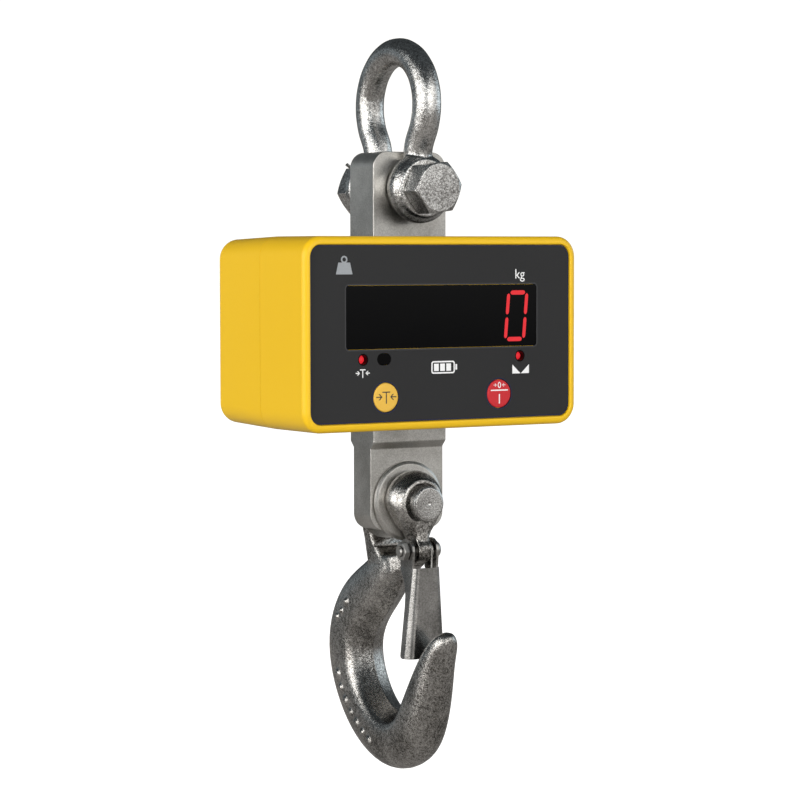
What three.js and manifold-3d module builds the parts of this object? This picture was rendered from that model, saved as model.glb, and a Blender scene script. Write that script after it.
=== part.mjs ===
// A hanging crane scale: a bow shackle on top, a load cell in a two-part display case, and a
// clevis hook with a sprung safety latch below. Millimetres, +Z up, the display faces -Y.
// The origin is the hang point, at the inside top of the shackle's bow, above the load line.
import * as THREE from "three";
import { mergeVertices } from "three/addons/utils/BufferGeometryUtils.js";
import Module from "manifold-3d";

const wasm = await Module();
wasm.setup();

// ---- driving dimensions ----
const GAP = 0.35; // clearance between neighbouring pieces

const BOLT_Z = -71; // the shackle bolt's axis, along Y
const PIN_Z = -253.1; // the hook's clevis pin, along Y
const CASE_Z = -153.7; // the middle of the case

const BOW_STOCK = 8.4; // radius of the shackle's bar
const BOW_R = 31; // its centreline in the bow
const JAW = 14; // half the gap between the shackle's eyes
const EYE_OUT = 31; // outer face of each eye
const BOLT_R = 9.5;
const HEX_FLATS = 27.8; // across the flats of the bolt head and nut

const CELL_W = 25; // half width of the load cell
const CELL_T = 13; // half its thickness in the case
const TANG_T = 9.6; // half the thickness of its lower tang
const CELL_TOP = -49.7;
const CELL_BOTTOM = -269.8;
const SHOULDER_TOP = -218.2; // where the thick part starts to chamfer into the tang
const SHOULDER_BOTTOM = -221.8;

const CASE_W = 93; // half width
const CASE_H = 55; // half height of the front half
const CASE_DRAFT = 1.6; // how much the top and bottom of the rear half draw in
const CASE_CORNER = 12;
const CASE_FRONT = -49.5;
const CASE_REAR = 50;
const FRONT_ROUND = 3.5;
const REAR_ROUND = 4;
const WALL = 3.2;

const PANEL_W = 88.2; // half width of the front panel
const PANEL_H = 50;
const PANEL_CORNER = 7;
const PANEL_Y = -48; // its face
const PANEL_T = 1.6;
const FRONT_WALL_Y = -46; // face of the wall behind the panel
const FRONT_WALL_BACK = -43;

const WINDOW = { x0: -64.9, x1: 65.3, z0: -8.8, z1: 27.4 }; // from the panel's centre
const KEY_R = 8.15;
const KEY_X = 38.7;
const KEY_Z = CASE_Z - 36;
const KEY_PROUD = 0.5;
const LAMP_X = 53.6;
const LAMP_Z = CASE_Z - 14.4;
const LAMP_HOLE = 3.4;
const IR_X = -39.7;
const BOARD_FRONT = -33.7;
const BOARD_T = 1.6;
const BOARD_SCREW_X = 70;

const EAR_R = 18.2; // the hook's ears
const EAR_IN = 12.7;
const EAR_OUT = { front: 27, rear: 25.2 };
const PIN_R = 10.25;
const WASHER_R = 23; // the pads between the ears and the tang
const LATCH_Y = -22.6; // the latch's pivot, along X
const LATCH_Z = -281;
const LATCH_BOLT_R = 3;

const CASE_SCREWS = [[-82, 43], [82, 43], [-82, -43], [82, -43]]; // from the case's centre
const TRAY_SCREWS = [[-50, 24], [50, 24], [-50, -24], [50, -24]];
const CELL_BOLTS = [[-1, 20], [-1, -20], [1, 20], [1, -20]]; // side of the cell, height
const DOOR_SCREW_X = 46;

// ---- colours ----
const paint = (color, roughness, metalness = 0) =>
  new THREE.MeshStandardMaterial({ color, roughness, metalness });
const STEEL = paint(0xb9b6af, 0.4, 0.9);
const FORGED = paint(0x9c9a96, 0.45, 0.9);
const ZINC = paint(0xb4b2ac, 0.35, 0.9);
const YELLOW = paint(0xf2c82d, 0.45);
const BLACK = paint(0x26272b, 0.5);
const GLOSS_BLACK = paint(0x08080a, 0.1);
const RUBBER = paint(0x1c1c1e, 0.85);
const GREEN_BOARD = paint(0x1f5a36, 0.5);
const GREY_PLASTIC = paint(0x3a3a3c, 0.6);
const BATTERY_BLUE = paint(0x2c4a86, 0.5);
const RED_LAMP = paint(0xd82c34, 0.3);
const TARE_YELLOW = paint(0xeebe46, 0.4);
const ZERO_RED = paint(0xcd2d32, 0.4);

// ---- solids ----
function solidOf(geometry) {
  const bare = geometry.index ? geometry.toNonIndexed() : geometry.clone();
  bare.deleteAttribute("normal");
  bare.deleteAttribute("uv");
  const merged = mergeVertices(bare, 1e-4);
  const vertProperties = merged.attributes.position.array;
  const triVerts = new Uint32Array(merged.index.array);
  const made = new wasm.Manifold(new wasm.Mesh({ numProp: 3, vertProperties, triVerts }));
  if (made.volume() > 0) return made;
  triVerts.reverse();
  return new wasm.Manifold(new wasm.Mesh({ numProp: 3, vertProperties, triVerts }));
}

function geometryOf(solid) {
  const mesh = solid.getMesh();
  const positions = new Float32Array(mesh.numVert * 3);
  for (let i = 0; i < mesh.numVert; i++)
    positions.set(mesh.vertProperties.subarray(i * mesh.numProp, i * mesh.numProp + 3), i * 3);
  const geometry = new THREE.BufferGeometry();
  geometry.setAttribute("position", new THREE.BufferAttribute(positions, 3));
  geometry.setIndex(new THREE.BufferAttribute(new Uint32Array(mesh.triVerts), 1));
  geometry.computeVertexNormals();
  return geometry;
}

const join = (...solids) => solids.reduce((a, b) => a.add(b));
const cut = (solid, ...tools) => tools.reduce((a, b) => a.subtract(b), solid);

const box = (x0, x1, y0, y1, z0, z1) =>
  solidOf(
    new THREE.BoxGeometry(x1 - x0, y1 - y0, z1 - z0).translate(
      (x0 + x1) / 2, (y0 + y1) / 2, (z0 + z1) / 2,
    ),
  );

// Round bars and cones along Y, and round bars along X. The first radius is at the lower end.
const coneY = (r0, r1, y0, y1, x, z, sides = 24) =>
  solidOf(new THREE.CylinderGeometry(r1, r0, y1 - y0, sides).translate(x, (y0 + y1) / 2, z));
const rodY = (r, y0, y1, x, z, sides = 24) => coneY(r, r, y0, y1, x, z, sides);
const rodX = (r, x0, x1, y, z, sides = 20) =>
  solidOf(
    new THREE.CylinderGeometry(r, r, x1 - x0, sides)
      .rotateZ(-Math.PI / 2)
      .translate((x0 + x1) / 2, y, z),
  );

// A turned piece about a line along Y: profile is [radius, y] pairs that start and end on it.
const turned = (profile, x, z, sides = 28) =>
  solidOf(
    new THREE.LatheGeometry(
      profile.map(([r, y]) => new THREE.Vector2(r, y)), sides,
    ).translate(x, 0, z),
  );

function extruded(shape, depth, corner = 8) {
  return new THREE.ExtrudeGeometry(shape, { depth, bevelEnabled: false, curveSegments: corner });
}
// An outline in X and Z, from y0 to y1.
const plateXZ = (shape, y0, y1, corner) =>
  solidOf(extruded(shape, y1 - y0, corner).rotateX(Math.PI / 2).translate(0, y1, 0));
// An outline in Y and Z, from x0 to x1.
const plateYZ = (shape, x0, x1, corner) =>
  solidOf(
    extruded(shape, x1 - x0, corner)
      .applyMatrix4(new THREE.Matrix4().set(0, 0, 1, 0, 1, 0, 0, 0, 0, 1, 0, 0, 0, 0, 0, 1))
      .translate(x0, 0, 0),
  );
const outline = (points) => new THREE.Shape(points.map(([a, b]) => new THREE.Vector2(a, b)));

function roundedOutline(a0, a1, b0, b1, r) {
  const shape = new THREE.Shape();
  shape.moveTo(a0 + r, b0);
  shape.absarc(a1 - r, b0 + r, r, -Math.PI / 2, 0);
  shape.absarc(a1 - r, b1 - r, r, 0, Math.PI / 2);
  shape.absarc(a0 + r, b1 - r, r, Math.PI / 2, Math.PI);
  shape.absarc(a0 + r, b0 + r, r, Math.PI, Math.PI * 1.5);
  return shape;
}

// A closed skin over rings that all have the same number of points, with flat ends.
function loft(rings) {
  const count = rings[0].length;
  const points = rings.flat();
  const faces = [];
  for (let i = 0; i + 1 < rings.length; i++)
    for (let j = 0; j < count; j++) {
      const a = i * count + j;
      const b = i * count + ((j + 1) % count);
      faces.push(a, b, b + count, a, b + count, a + count);
    }
  for (const [start, turn] of [[0, 1], [(rings.length - 1) * count, -1]]) {
    const middle = points.length;
    const sum = new THREE.Vector3();
    for (let j = 0; j < count; j++) sum.add(points[start + j]);
    points.push(sum.divideScalar(count));
    for (let j = 0; j < count; j++) {
      const next = start + ((j + 1) % count);
      faces.push(middle, turn > 0 ? next : start + j, turn > 0 ? start + j : next);
    }
  }
  const geometry = new THREE.BufferGeometry().setFromPoints(points);
  geometry.setIndex(faces);
  return solidOf(geometry);
}

// A round bar along a curve.
function bar(curve, radius, steps, sides = 8) {
  const section = new THREE.Shape();
  section.absarc(0, 0, radius, 0, Math.PI * 2);
  return solidOf(
    new THREE.ExtrudeGeometry(section, {
      steps, extrudePath: curve, curveSegments: sides / 2, bevelEnabled: false,
    }),
  );
}
const along = (...points) =>
  new THREE.CatmullRomCurve3(points.map((p) => new THREE.Vector3(...p)));

const piece = (name, solid, material) => {
  const mesh = new THREE.Mesh(geometryOf(solid), material);
  mesh.name = name;
  return mesh;
};

// ---- shackle ----
// One half of the bow's centreline follows from the other: legs, a waist, then the round bow.
function bowCentreline() {
  const crown = BOW_STOCK - BOW_R;
  const half = [[22.4, BOLT_Z], [21.6, BOLT_Z + 12], [21.9, BOLT_Z + 22.5]];
  for (let angle = -20; angle <= 68; angle += 22) {
    const a = THREE.MathUtils.degToRad(angle);
    half.push([BOW_R * Math.cos(a), crown + BOW_R * Math.sin(a)]);
  }
  const back = half.map(([y, z]) => [0, y, z]);
  const front = half.map(([y, z]) => [0, -y, z]).reverse();
  return along(...back, [0, 0, BOW_STOCK], ...front);
}

function shackleBow() {
  const eye = (side) =>
    turned(
      [[0, JAW], [15.8, JAW], [17.6, 17], [20, 22.5], [19.4, 27], [15.8, EYE_OUT], [0, EYE_OUT]]
        .map(([r, y]) => [r, side * y]),
      0, BOLT_Z,
    );
  const bow = bar(bowCentreline(), BOW_STOCK, 34, 14);
  return cut(join(bow, eye(1), eye(-1)), rodY(BOLT_R + GAP, -40, 40, 0, BOLT_Z, 32));
}

// A hexagon with corners towards +X and -X, its rims cut back by a cone.
function hexagon(y0, y1, chamferAt) {
  const corner = HEX_FLATS / Math.sqrt(3);
  const prism = solidOf(
    new THREE.CylinderGeometry(corner, corner, y1 - y0, 6)
      .rotateY(Math.PI / 2 + THREE.MathUtils.degToRad(7))
      .translate(0, (y0 + y1) / 2, BOLT_Z),
  );
  const face = HEX_FLATS / 2 - 0.4;
  const rise = 2.4;
  const cone = chamferAt < 0
    ? turned([[0, y0], [face, y0], [face + 4, y0 + rise], [face + 4, y1], [0, y1]], 0, BOLT_Z)
    : turned([[0, y0], [face + 4, y0], [face + 4, y1 - rise], [face, y1], [0, y1]], 0, BOLT_Z);
  return prism.intersect(cone);
}

const HEAD_Y = [-45, -EYE_OUT - GAP];
const NUT_Y = [EYE_OUT + GAP, 44];
const SPLIT_Y = 46.8;
const SPLIT_LEAN = THREE.MathUtils.degToRad(-5);

function shackleBolt() {
  const shank = turned(
    [[0, HEAD_Y[1] - 1], [BOLT_R, HEAD_Y[1] - 1], [BOLT_R, 48.5], [BOLT_R - 1.8, 50.3], [0, 50.3]],
    0, BOLT_Z,
  );
  return cut(join(hexagon(...HEAD_Y, -1), shank), splitPinBar(2.2, -16, 16));
}

// The split pin's line leans a little from upright, across the bolt.
function splitPinBar(radius, from, to) {
  return solidOf(
    new THREE.CylinderGeometry(radius, radius, to - from, 12)
      .translate(0, (from + to) / 2, 0)
      .rotateX(Math.PI / 2)
      .rotateY(SPLIT_LEAN)
      .translate(0, SPLIT_Y, BOLT_Z),
  );
}

// Its eye is below, and its two legs are bent apart above the bolt.
function shackleSplitPin() {
  const eye = solidOf(
    new THREE.TorusGeometry(2.6, 1.2, 8, 16)
      .translate(0, -15.4, 0)
      .rotateX(Math.PI / 2)
      .rotateY(SPLIT_LEAN)
      .translate(0, SPLIT_Y, BOLT_Z),
  );
  const leg = (x, z) =>
    bar(along([-0.9, SPLIT_Y, BOLT_Z + 10], [-1.2, SPLIT_Y, BOLT_Z + 12.5], [x, SPLIT_Y, BOLT_Z + z]), 1.1, 5);
  return join(splitPinBar(1.6, -12.8, 11.5), eye, leg(-6.6, 16), leg(4, 15.6));
}

const shackleNut = () => cut(hexagon(...NUT_Y, 1), rodY(BOLT_R + GAP, 30, 44, 0, BOLT_Z, 32));

// ---- load cell ----
const GAUGE_POCKET_R = 12;
const POCKET_FLOOR = 2.5; // half the thin web left between the two gauge pockets

function loadCell() {
  const side = outline([
    [-CELL_T, CELL_TOP], [-CELL_T, SHOULDER_TOP], [-TANG_T, SHOULDER_BOTTOM],
    [-TANG_T, CELL_BOTTOM], [TANG_T, CELL_BOTTOM], [TANG_T, SHOULDER_BOTTOM],
    [CELL_T, SHOULDER_TOP], [CELL_T, CELL_TOP],
  ]);
  const front = roundedOutline(-CELL_W, CELL_W, CELL_BOTTOM, CELL_TOP, 9.5);
  const blank = plateYZ(side, -CELL_W, CELL_W).intersect(plateXZ(front, -20, 20, 8));
  return cut(
    blank,
    rodY(BOLT_R + GAP + 0.1, -20, 20, 0, BOLT_Z, 32),
    rodY(PIN_R + GAP + 0.1, -20, 20, 0, PIN_Z, 32),
    rodY(GAUGE_POCKET_R, -20, -POCKET_FLOOR, 0, CASE_Z, 24),
    rodY(GAUGE_POCKET_R, POCKET_FLOOR, 20, 0, CASE_Z, 24),
    ...CELL_BOLTS.map(([s, up]) =>
      rodX(2.9, s > 0 ? 11 : -30, s > 0 ? 30 : -11, 0, CASE_Z + up, 12),
    ),
  );
}

function gaugeCover(side) {
  const [inner, outer] = [CELL_T - 2, CELL_T];
  const disc = rodY(
    GAUGE_POCKET_R - GAP, Math.min(side * inner, side * outer), Math.max(side * inner, side * outer),
    0, CASE_Z, 24,
  );
  return side < 0 ? join(disc, rodY(3.6, -CELL_T - 3, -CELL_T + 1, 0, CASE_Z, 12)) : disc;
}

// ---- case ----
const CORNER_STEPS = 4;

// The case's outline at a depth y, drawn in by inset.
function caseRing(y, inset) {
  const w = CASE_W - inset;
  const h = CASE_H - CASE_DRAFT * Math.max(y / CASE_REAR, 0) - inset;
  const r = Math.max(CASE_CORNER - inset, 2);
  const ring = [];
  for (let corner = 0; corner < 4; corner++)
    for (let k = 0; k <= CORNER_STEPS; k++) {
      const a = (corner + k / CORNER_STEPS) * (Math.PI / 2);
      const sx = corner === 0 || corner === 3 ? 1 : -1;
      const sz = corner < 2 ? 1 : -1;
      ring.push(
        new THREE.Vector3(
          sx * (w - r) + r * Math.cos(a), y, CASE_Z + sz * (h - r) + r * Math.sin(a),
        ),
      );
    }
  return ring;
}

// Rings that round an edge over: depth goes in from the end while the inset falls to nothing.
function roundOver(end, towards, radius, steps = 3) {
  const rings = [];
  for (let k = 0; k <= steps; k++) {
    const a = (k / steps) * (Math.PI / 2);
    rings.push(
      caseRing(end + towards * radius * (1 - Math.cos(a)), radius * (1 - Math.sin(a))),
    );
  }
  return rings;
}

const cellOpening = (clear, z0, z1) =>
  box(-CELL_W - clear, CELL_W + clear, -CELL_T - clear, CELL_T + clear, z0, z1);
const SEAL_T = 2.2;
const SEAM = 0.25; // each shell stops this far from the middle plane

function frontCase() {
  const outer = loft([...roundOver(CASE_FRONT, 1, FRONT_ROUND), caseRing(-SEAM, 0)]);
  const inner = loft([caseRing(FRONT_WALL_BACK, WALL), caseRing(5, WALL)]);
  const recess = roundedOutline(
    -PANEL_W - GAP, PANEL_W + GAP, CASE_Z - PANEL_H - GAP, CASE_Z + PANEL_H + GAP, PANEL_CORNER,
  );
  const tray = plateXZ(recess, CASE_FRONT - 1, FRONT_WALL_Y, 5);
  const wallHole = (r, x, z) => rodY(r, -50, -40, x, z, 20);
  const posts = CASE_SCREWS.map(([x, z]) => rodY(5, FRONT_WALL_BACK - 1, -SEAM, x, CASE_Z + z, 16));
  const boardPosts = [-1, 1].map((s) =>
    rodY(4, FRONT_WALL_BACK - 1, BOARD_FRONT - GAP, s * BOARD_SCREW_X, CASE_Z + 32, 12),
  );
  return cut(
    join(cut(outer, inner, tray), ...posts, ...boardPosts),
    box(WINDOW.x0 + 4, WINDOW.x1 - 4, -50, -40, CASE_Z + WINDOW.z0 + 3, CASE_Z + WINDOW.z1 - 3),
    wallHole(5.4, -KEY_X, KEY_Z),
    wallHole(5.4, KEY_X, KEY_Z),
    wallHole(LAMP_HOLE, -LAMP_X, LAMP_Z),
    wallHole(LAMP_HOLE, LAMP_X, LAMP_Z),
    wallHole(4.2, IR_X, LAMP_Z),
    cellOpening(SEAL_T, -230, -80),
    ...CASE_SCREWS.map(([x, z]) => rodY(2, -20, 5, x, CASE_Z + z, 12)),
    ...[-1, 1].map((s) => rodY(1.7, -41, -30, s * BOARD_SCREW_X, CASE_Z + 32, 12)),
    ...[-1, 1].map((s) => gasketGroove(s, 0.35)),
  );
}

// The strip that seals the seam runs round one side of the case, from the top opening to the
// bottom one. The groove is the same strip, a little wider.
function gasketGroove(side, wider) {
  const mid = WALL / 2;
  const strip = (inset) => caseRing(0, inset);
  const outerRing = strip(mid - 0.55 - wider);
  const innerRing = strip(mid + 0.55 + wider);
  const at = (ring, y) => ring.map((p) => new THREE.Vector3(p.x, y, p.z));
  const [y0, y1] = [-1.4 - wider, 1.4 + wider];
  const ringSolid = cut(
    loft([at(outerRing, y0), at(outerRing, y1)]),
    loft([at(innerRing, y0 - 1), at(innerRing, y1 + 1)]),
  );
  const from = CELL_W + SEAL_T + (wider > 0 ? -2 : 0.6);
  return side < 0
    ? ringSolid.intersect(box(-120, -from, -9, 9, -230, -80))
    : ringSolid.intersect(box(from, 120, -9, 9, -230, -80));
}

const DOOR = { x: 41, z0: CASE_Z - 40, z1: CASE_Z + 37, y: 46.4 };
const SOCKET_X = 72;
const SOCKET_Z = CASE_Z - 22;

function rearCase() {
  const outer = loft([caseRing(SEAM, 0), ...roundOver(CASE_REAR, -1, REAR_ROUND).reverse()]);
  const inner = loft([caseRing(-5, WALL), caseRing(CASE_REAR - WALL, WALL)]);
  const doorRecess = plateXZ(
    roundedOutline(-DOOR.x - 9, DOOR.x + 9, DOOR.z0 - 4, DOOR.z1 + 4, 5), DOOR.y, 55, 4,
  );
  const doorway = plateXZ(
    roundedOutline(-DOOR.x, DOOR.x, DOOR.z0, DOOR.z1, 4), 40, 55, 4,
  );
  const rim = plateXZ(
    roundedOutline(-DOOR.x - 12, DOOR.x + 12, DOOR.z0 - 7, DOOR.z1 + 7, 6), DOOR.y - 3, CASE_REAR - 1, 4,
  );
  const posts = CASE_SCREWS.map(([x, z]) => rodY(6, SEAM, CASE_REAR - 2, x, CASE_Z + z, 16));
  const trayPosts = TRAY_SCREWS.map(([x, z]) => rodY(4, 16.2, DOOR.y - 1, x, CASE_Z + z, 12));
  const boardPosts = [[-84, 16], [-60, 16], [-84, -22], [-60, -22]].map(([x, z]) =>
    rodY(2.6, 30, CASE_REAR - 2, x, CASE_Z + z, 10),
  );
  const shell = cut(join(cut(outer, inner), rim), doorRecess, doorway);
  return cut(
    join(shell, ...posts, ...trayPosts, ...boardPosts),
    cellOpening(SEAL_T, -230, -80),
    rodY(7.2, 40, 55, SOCKET_X, SOCKET_Z, 20),
    ...CASE_SCREWS.map(([x, z]) => rodY(2.4, -5, 55, x, CASE_Z + z, 12)),
    ...CASE_SCREWS.map(([x, z]) => rodY(4.4, 34, 55, x, CASE_Z + z, 16)),
    ...TRAY_SCREWS.map(([x, z]) => rodY(1.9, 10, 30, x, CASE_Z + z, 10)),
    ...[-1, 1].map((s) => rodY(1.9, 40, 55, s * DOOR_SCREW_X, DOOR.z0 + 6, 10)),
    ...[-1, 1].map((s) => gasketGroove(s, 0.35)),
  );
}

// A rubber collar between the cell and the case wall, with a lip under the wall.
function cellSeal(top) {
  const outside = CASE_H - CASE_DRAFT * 0.3;
  const [z0, z1] = top
    ? [CASE_Z + outside - WALL - 3, CASE_Z + outside - 0.6]
    : [CASE_Z - outside + 0.6, CASE_Z - outside + WALL + 3];
  const collar = cellOpening(SEAL_T - GAP, z0, z1);
  const lipZ = top ? [z0, z0 + 2] : [z1 - 2, z1];
  const lip = cellOpening(SEAL_T + 2.5, ...lipZ);
  return cut(join(collar, lip), cellOpening(GAP, -230, -80));
}

// ---- front panel and what shows in it ----
function frontPanel() {
  const sheet = plateXZ(
    roundedOutline(-PANEL_W, PANEL_W, CASE_Z - PANEL_H, CASE_Z + PANEL_H, PANEL_CORNER),
    PANEL_Y, PANEL_Y + PANEL_T, 5,
  );
  const through = (r, x, z) => rodY(r, -50, -45, x, z, 28);
  return cut(
    sheet,
    plateXZ(windowOutline(0), -50, -45, 4),
    through(KEY_R + GAP, -KEY_X, KEY_Z),
    through(KEY_R + GAP, KEY_X, KEY_Z),
    through(LAMP_HOLE, -LAMP_X, LAMP_Z),
    through(LAMP_HOLE, LAMP_X, LAMP_Z),
    plateXZ(irOutline(0), -50, -45, 8),
  );
}

const windowOutline = (inset) =>
  roundedOutline(
    WINDOW.x0 + inset, WINDOW.x1 - inset, CASE_Z + WINDOW.z0 + inset, CASE_Z + WINDOW.z1 - inset, 2,
  );
const irOutline = (inset) =>
  roundedOutline(
    IR_X - 4.7 + inset, IR_X + 4.7 - inset, LAMP_Z - 3.45 + inset, LAMP_Z + 3.45 - inset,
    3.44 - inset,
  );

const displayWindow = () => plateXZ(windowOutline(GAP), PANEL_Y + 0.1, PANEL_Y + PANEL_T, 4);
const irWindow = () => plateXZ(irOutline(GAP), PANEL_Y, PANEL_Y + PANEL_T, 8);

// The keys: a round cap in the panel, a stem through the wall and a foot that stops it.
function key(x) {
  return join(
    turned(
      [[0, PANEL_Y - KEY_PROUD], [KEY_R - 0.5, PANEL_Y - KEY_PROUD], [KEY_R, PANEL_Y],
        [KEY_R, PANEL_Y + 1.1], [0, PANEL_Y + 1.1]],
      x, KEY_Z, 32,
    ),
    rodY(5, PANEL_Y + 1, -42.2, x, KEY_Z, 20),
    rodY(6.4, -42.6, -41.2, x, KEY_Z, 20),
  );
}

// ---- boards ----
function displayBoard() {
  const sheet = box(-76, 76, BOARD_FRONT, BOARD_FRONT + BOARD_T, CASE_Z - 44, CASE_Z + 38);
  return cut(sheet, ...[-1, 1].map((s) => rodY(1.8, -40, -30, s * BOARD_SCREW_X, CASE_Z + 32, 12)));
}
const boardScrew = (s) =>
  turned(
    [[0, -40], [1.35, -40], [1.35, BOARD_FRONT + BOARD_T + GAP], [3, BOARD_FRONT + BOARD_T + GAP],
      [2.6, BOARD_FRONT + BOARD_T + 2.2], [0, BOARD_FRONT + BOARD_T + 2.2]],
    s * BOARD_SCREW_X, CASE_Z + 32, 12,
  );
const ledDisplay = () => box(-60.5, 61, -45.4, BOARD_FRONT - GAP, CASE_Z - 5.5, CASE_Z + 24);
const keySwitch = (x) =>
  join(
    box(x - 6, x + 6, -38, BOARD_FRONT - GAP, KEY_Z - 6, KEY_Z + 6),
    rodY(2.4, -40.1, -37.5, x, KEY_Z, 12),
  );
const lamp = (x) =>
  turned(
    [[0, -45.4], [1.5, -44.9], [2.4, -43.6], [2.5, -42.5], [2.5, -37], [3, -36.9],
      [3, BOARD_FRONT - GAP], [0, BOARD_FRONT - GAP]],
    x, LAMP_Z, 16,
  );
const irReceiver = () => box(IR_X - 3, IR_X + 3, -44.5, BOARD_FRONT - GAP, LAMP_Z - 2.6, LAMP_Z + 2.6);
const mainBoard = () => box(-88, -56, 28, 29.6, CASE_Z - 27, CASE_Z + 21);
const cellCable = () =>
  bar(
    along([0, -18.2, CASE_Z], [-6, -22, CASE_Z + 1], [-22, -23, CASE_Z + 4], [-44, -16, CASE_Z + 6],
      [-64, 6, CASE_Z + 4], [-71, 19, CASE_Z], [-72, 27.4, CASE_Z]),
    1.6, 30, 8,
  );

// ---- battery, charging socket and their fixings ----
function batteryTray() {
  const bed = [CASE_Z - 37.2, CASE_Z + 33];
  return cut(
    join(
      box(-56, 56, 14.4, 15.8, CASE_Z - 30, CASE_Z + 30),
      box(-37.9, 37.9, 14.4, 15.8, ...bed),
      box(-37.9, -36.4, 15, 33, ...bed),
      box(36.4, 37.9, 15, 33, ...bed),
      box(-37.9, 37.9, 15, 33, bed[0], bed[0] + 1.4),
    ),
    ...TRAY_SCREWS.map(([x, z]) => rodY(2.4, 10, 20, x, CASE_Z + z, 12)),
  );
}
const batteryPack = () =>
  plateXZ(
    roundedOutline(-36, 36, CASE_Z - 35.4, CASE_Z + 32, 5), 16.2, 40, 4,
  );

function batteryDoor() {
  const leaf = plateXZ(
    roundedOutline(-DOOR.x - 8.6, DOOR.x + 8.6, DOOR.z0 - 3.6, DOOR.z1 + 3.6, 4.6),
    DOOR.y + GAP, CASE_REAR - 0.4, 4,
  );
  const spigot = plateXZ(
    roundedOutline(-DOOR.x + 0.5, DOOR.x - 0.5, DOOR.z0 + 0.5, DOOR.z1 - 0.5, 3.5), 43.6, DOOR.y + 1, 4,
  );
  const pull = box(-12, 12, CASE_REAR - 2, 55, DOOR.z1 - 3, DOOR.z1 - 0.5);
  return cut(
    join(leaf, spigot), pull,
    ...[-1, 1].map((s) => rodY(2.2, 40, 55, s * DOOR_SCREW_X, DOOR.z0 + 6, 12)),
    ...[-1, 1].map((s) => rodY(3.9, CASE_REAR - 2, 55, s * DOOR_SCREW_X, DOOR.z0 + 6, 16)),
  );
}
const doorScrew = (s) =>
  turned(
    [[0, 41.5], [1.5, 41.5], [1.5, CASE_REAR - 1.7], [3.5, CASE_REAR - 1.7], [3, CASE_REAR], [0, CASE_REAR]],
    s * DOOR_SCREW_X, DOOR.z0 + 6, 16,
  );

const chargeSocket = () =>
  cut(
    join(
      rodY(6.8, 38, CASE_REAR - 1, SOCKET_X, SOCKET_Z, 20),
      rodY(9.5, 43.4, 46.4, SOCKET_X, SOCKET_Z, 6),
    ),
    rodY(4, 42, 55, SOCKET_X, SOCKET_Z, 16),
  );
const socketCover = () =>
  join(
    rodY(9, CASE_REAR + GAP, CASE_REAR + 2.4, SOCKET_X, SOCKET_Z, 24),
    rodY(3.6, 44, CASE_REAR + 1, SOCKET_X, SOCKET_Z, 16),
  );

// A steel angle from the side of the cell to the posts of the rear case.
function cellBracket(s) {
  const flat = (x0, x1, y0, y1) => {
    const [a, b] = s > 0 ? [x0, x1] : [-x1, -x0];
    return box(a, b, y0, y1, CASE_Z - 30, CASE_Z + 30);
  };
  return cut(
    join(flat(CELL_W + GAP, CELL_W + 3.3, -11, 14), flat(CELL_W + GAP, 56, 11, 14)),
    ...CELL_BOLTS.filter(([side]) => side === s).map(([, up]) =>
      rodX(3, s > 0 ? 20 : -35, s > 0 ? 35 : -20, 0, CASE_Z + up, 12),
    ),
    ...TRAY_SCREWS.map(([x, z]) => rodY(2.4, 8, 16, x, CASE_Z + z, 12)),
  );
}
function bracketBolt([s, up]) {
  const profile = [[0, 12], [2.5, 12], [2.5, CELL_W + 3.3 + GAP], [4.6, CELL_W + 3.3 + GAP],
    [4.6, CELL_W + 8], [0, CELL_W + 8]];
  const lathe = new THREE.LatheGeometry(profile.map(([r, y]) => new THREE.Vector2(r, y)), 12);
  return solidOf(lathe.rotateZ((-s * Math.PI) / 2).translate(0, 0, CASE_Z + up));
}
const trayScrew = ([x, z]) =>
  turned(
    [[0, 8.4], [3.6, 8.4], [3.9, 10.6], [1.5, 10.7], [1.5, 27], [0, 27]], x, CASE_Z + z, 12,
  );
const caseScrew = ([x, z]) =>
  turned([[0, -14], [1.65, -14], [1.65, 34.4], [3.9, 34.4], [3.6, 37.4], [0, 37.4]], x, CASE_Z + z, 12);

// ---- hook ----
// Stations along the hook's bar, from the neck round the bowl to the tip: the middle in Y and Z,
// half the depth in that plane, half the width in X.
const HOOK_BAR = [
  [1, -279, 11, 10],
  [3.5, -291, 13.8, 11],
  [18.5, -304.5, 16.4, 12.4],
  [36, -316.5, 19.2, 13],
  [46.2, -330, 20, 13.3],
  [49.9, -345, 19.8, 13.4],
  [45.4, -362.5, 18.6, 13.4],
  [32.9, -380.9, 17.8, 13.4],
  [14.9, -393.2, 17.6, 13.4],
  [-4.6, -397.2, 17.6, 13.4],
  [-21, -390.1, 17.2, 13.4],
  [-29.7, -374, 14.6, 13],
  [-36.4, -357, 11.4, 11.8],
  [-42.6, -342, 8, 10],
  [-49, -333.2, 6.9, 8],
  [-52.8, -328.7, 4.6, 5.6],
  [-54.4, -326.4, 1.5, 2],
];

function hookBar() {
  const middle = along(...HOOK_BAR.map(([y, z]) => [0, y, z]));
  const sizes = along(...HOOK_BAR.map(([, , depth, width]) => [depth, width, 0]));
  const stations = 30;
  const around = 16;
  const rings = [];
  for (let i = 0; i <= stations; i++) {
    const centre = middle.getPoint(i / stations);
    const tangent = middle.getTangent(i / stations);
    const outward = new THREE.Vector3(0, -tangent.z, tangent.y).normalize();
    const size = sizes.getPoint(i / stations);
    const ring = [];
    for (let j = 0; j < around; j++) {
      const a = (j / around) * Math.PI * 2;
      const round = (v) => Math.sign(v) * Math.abs(v) ** 0.8;
      ring.push(
        centre.clone()
          .addScaledVector(outward, size.x * round(Math.cos(a)))
          .add(new THREE.Vector3(size.y * round(Math.sin(a)), 0, 0)),
      );
    }
    rings.push(ring);
  }
  return loft(rings);
}

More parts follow.
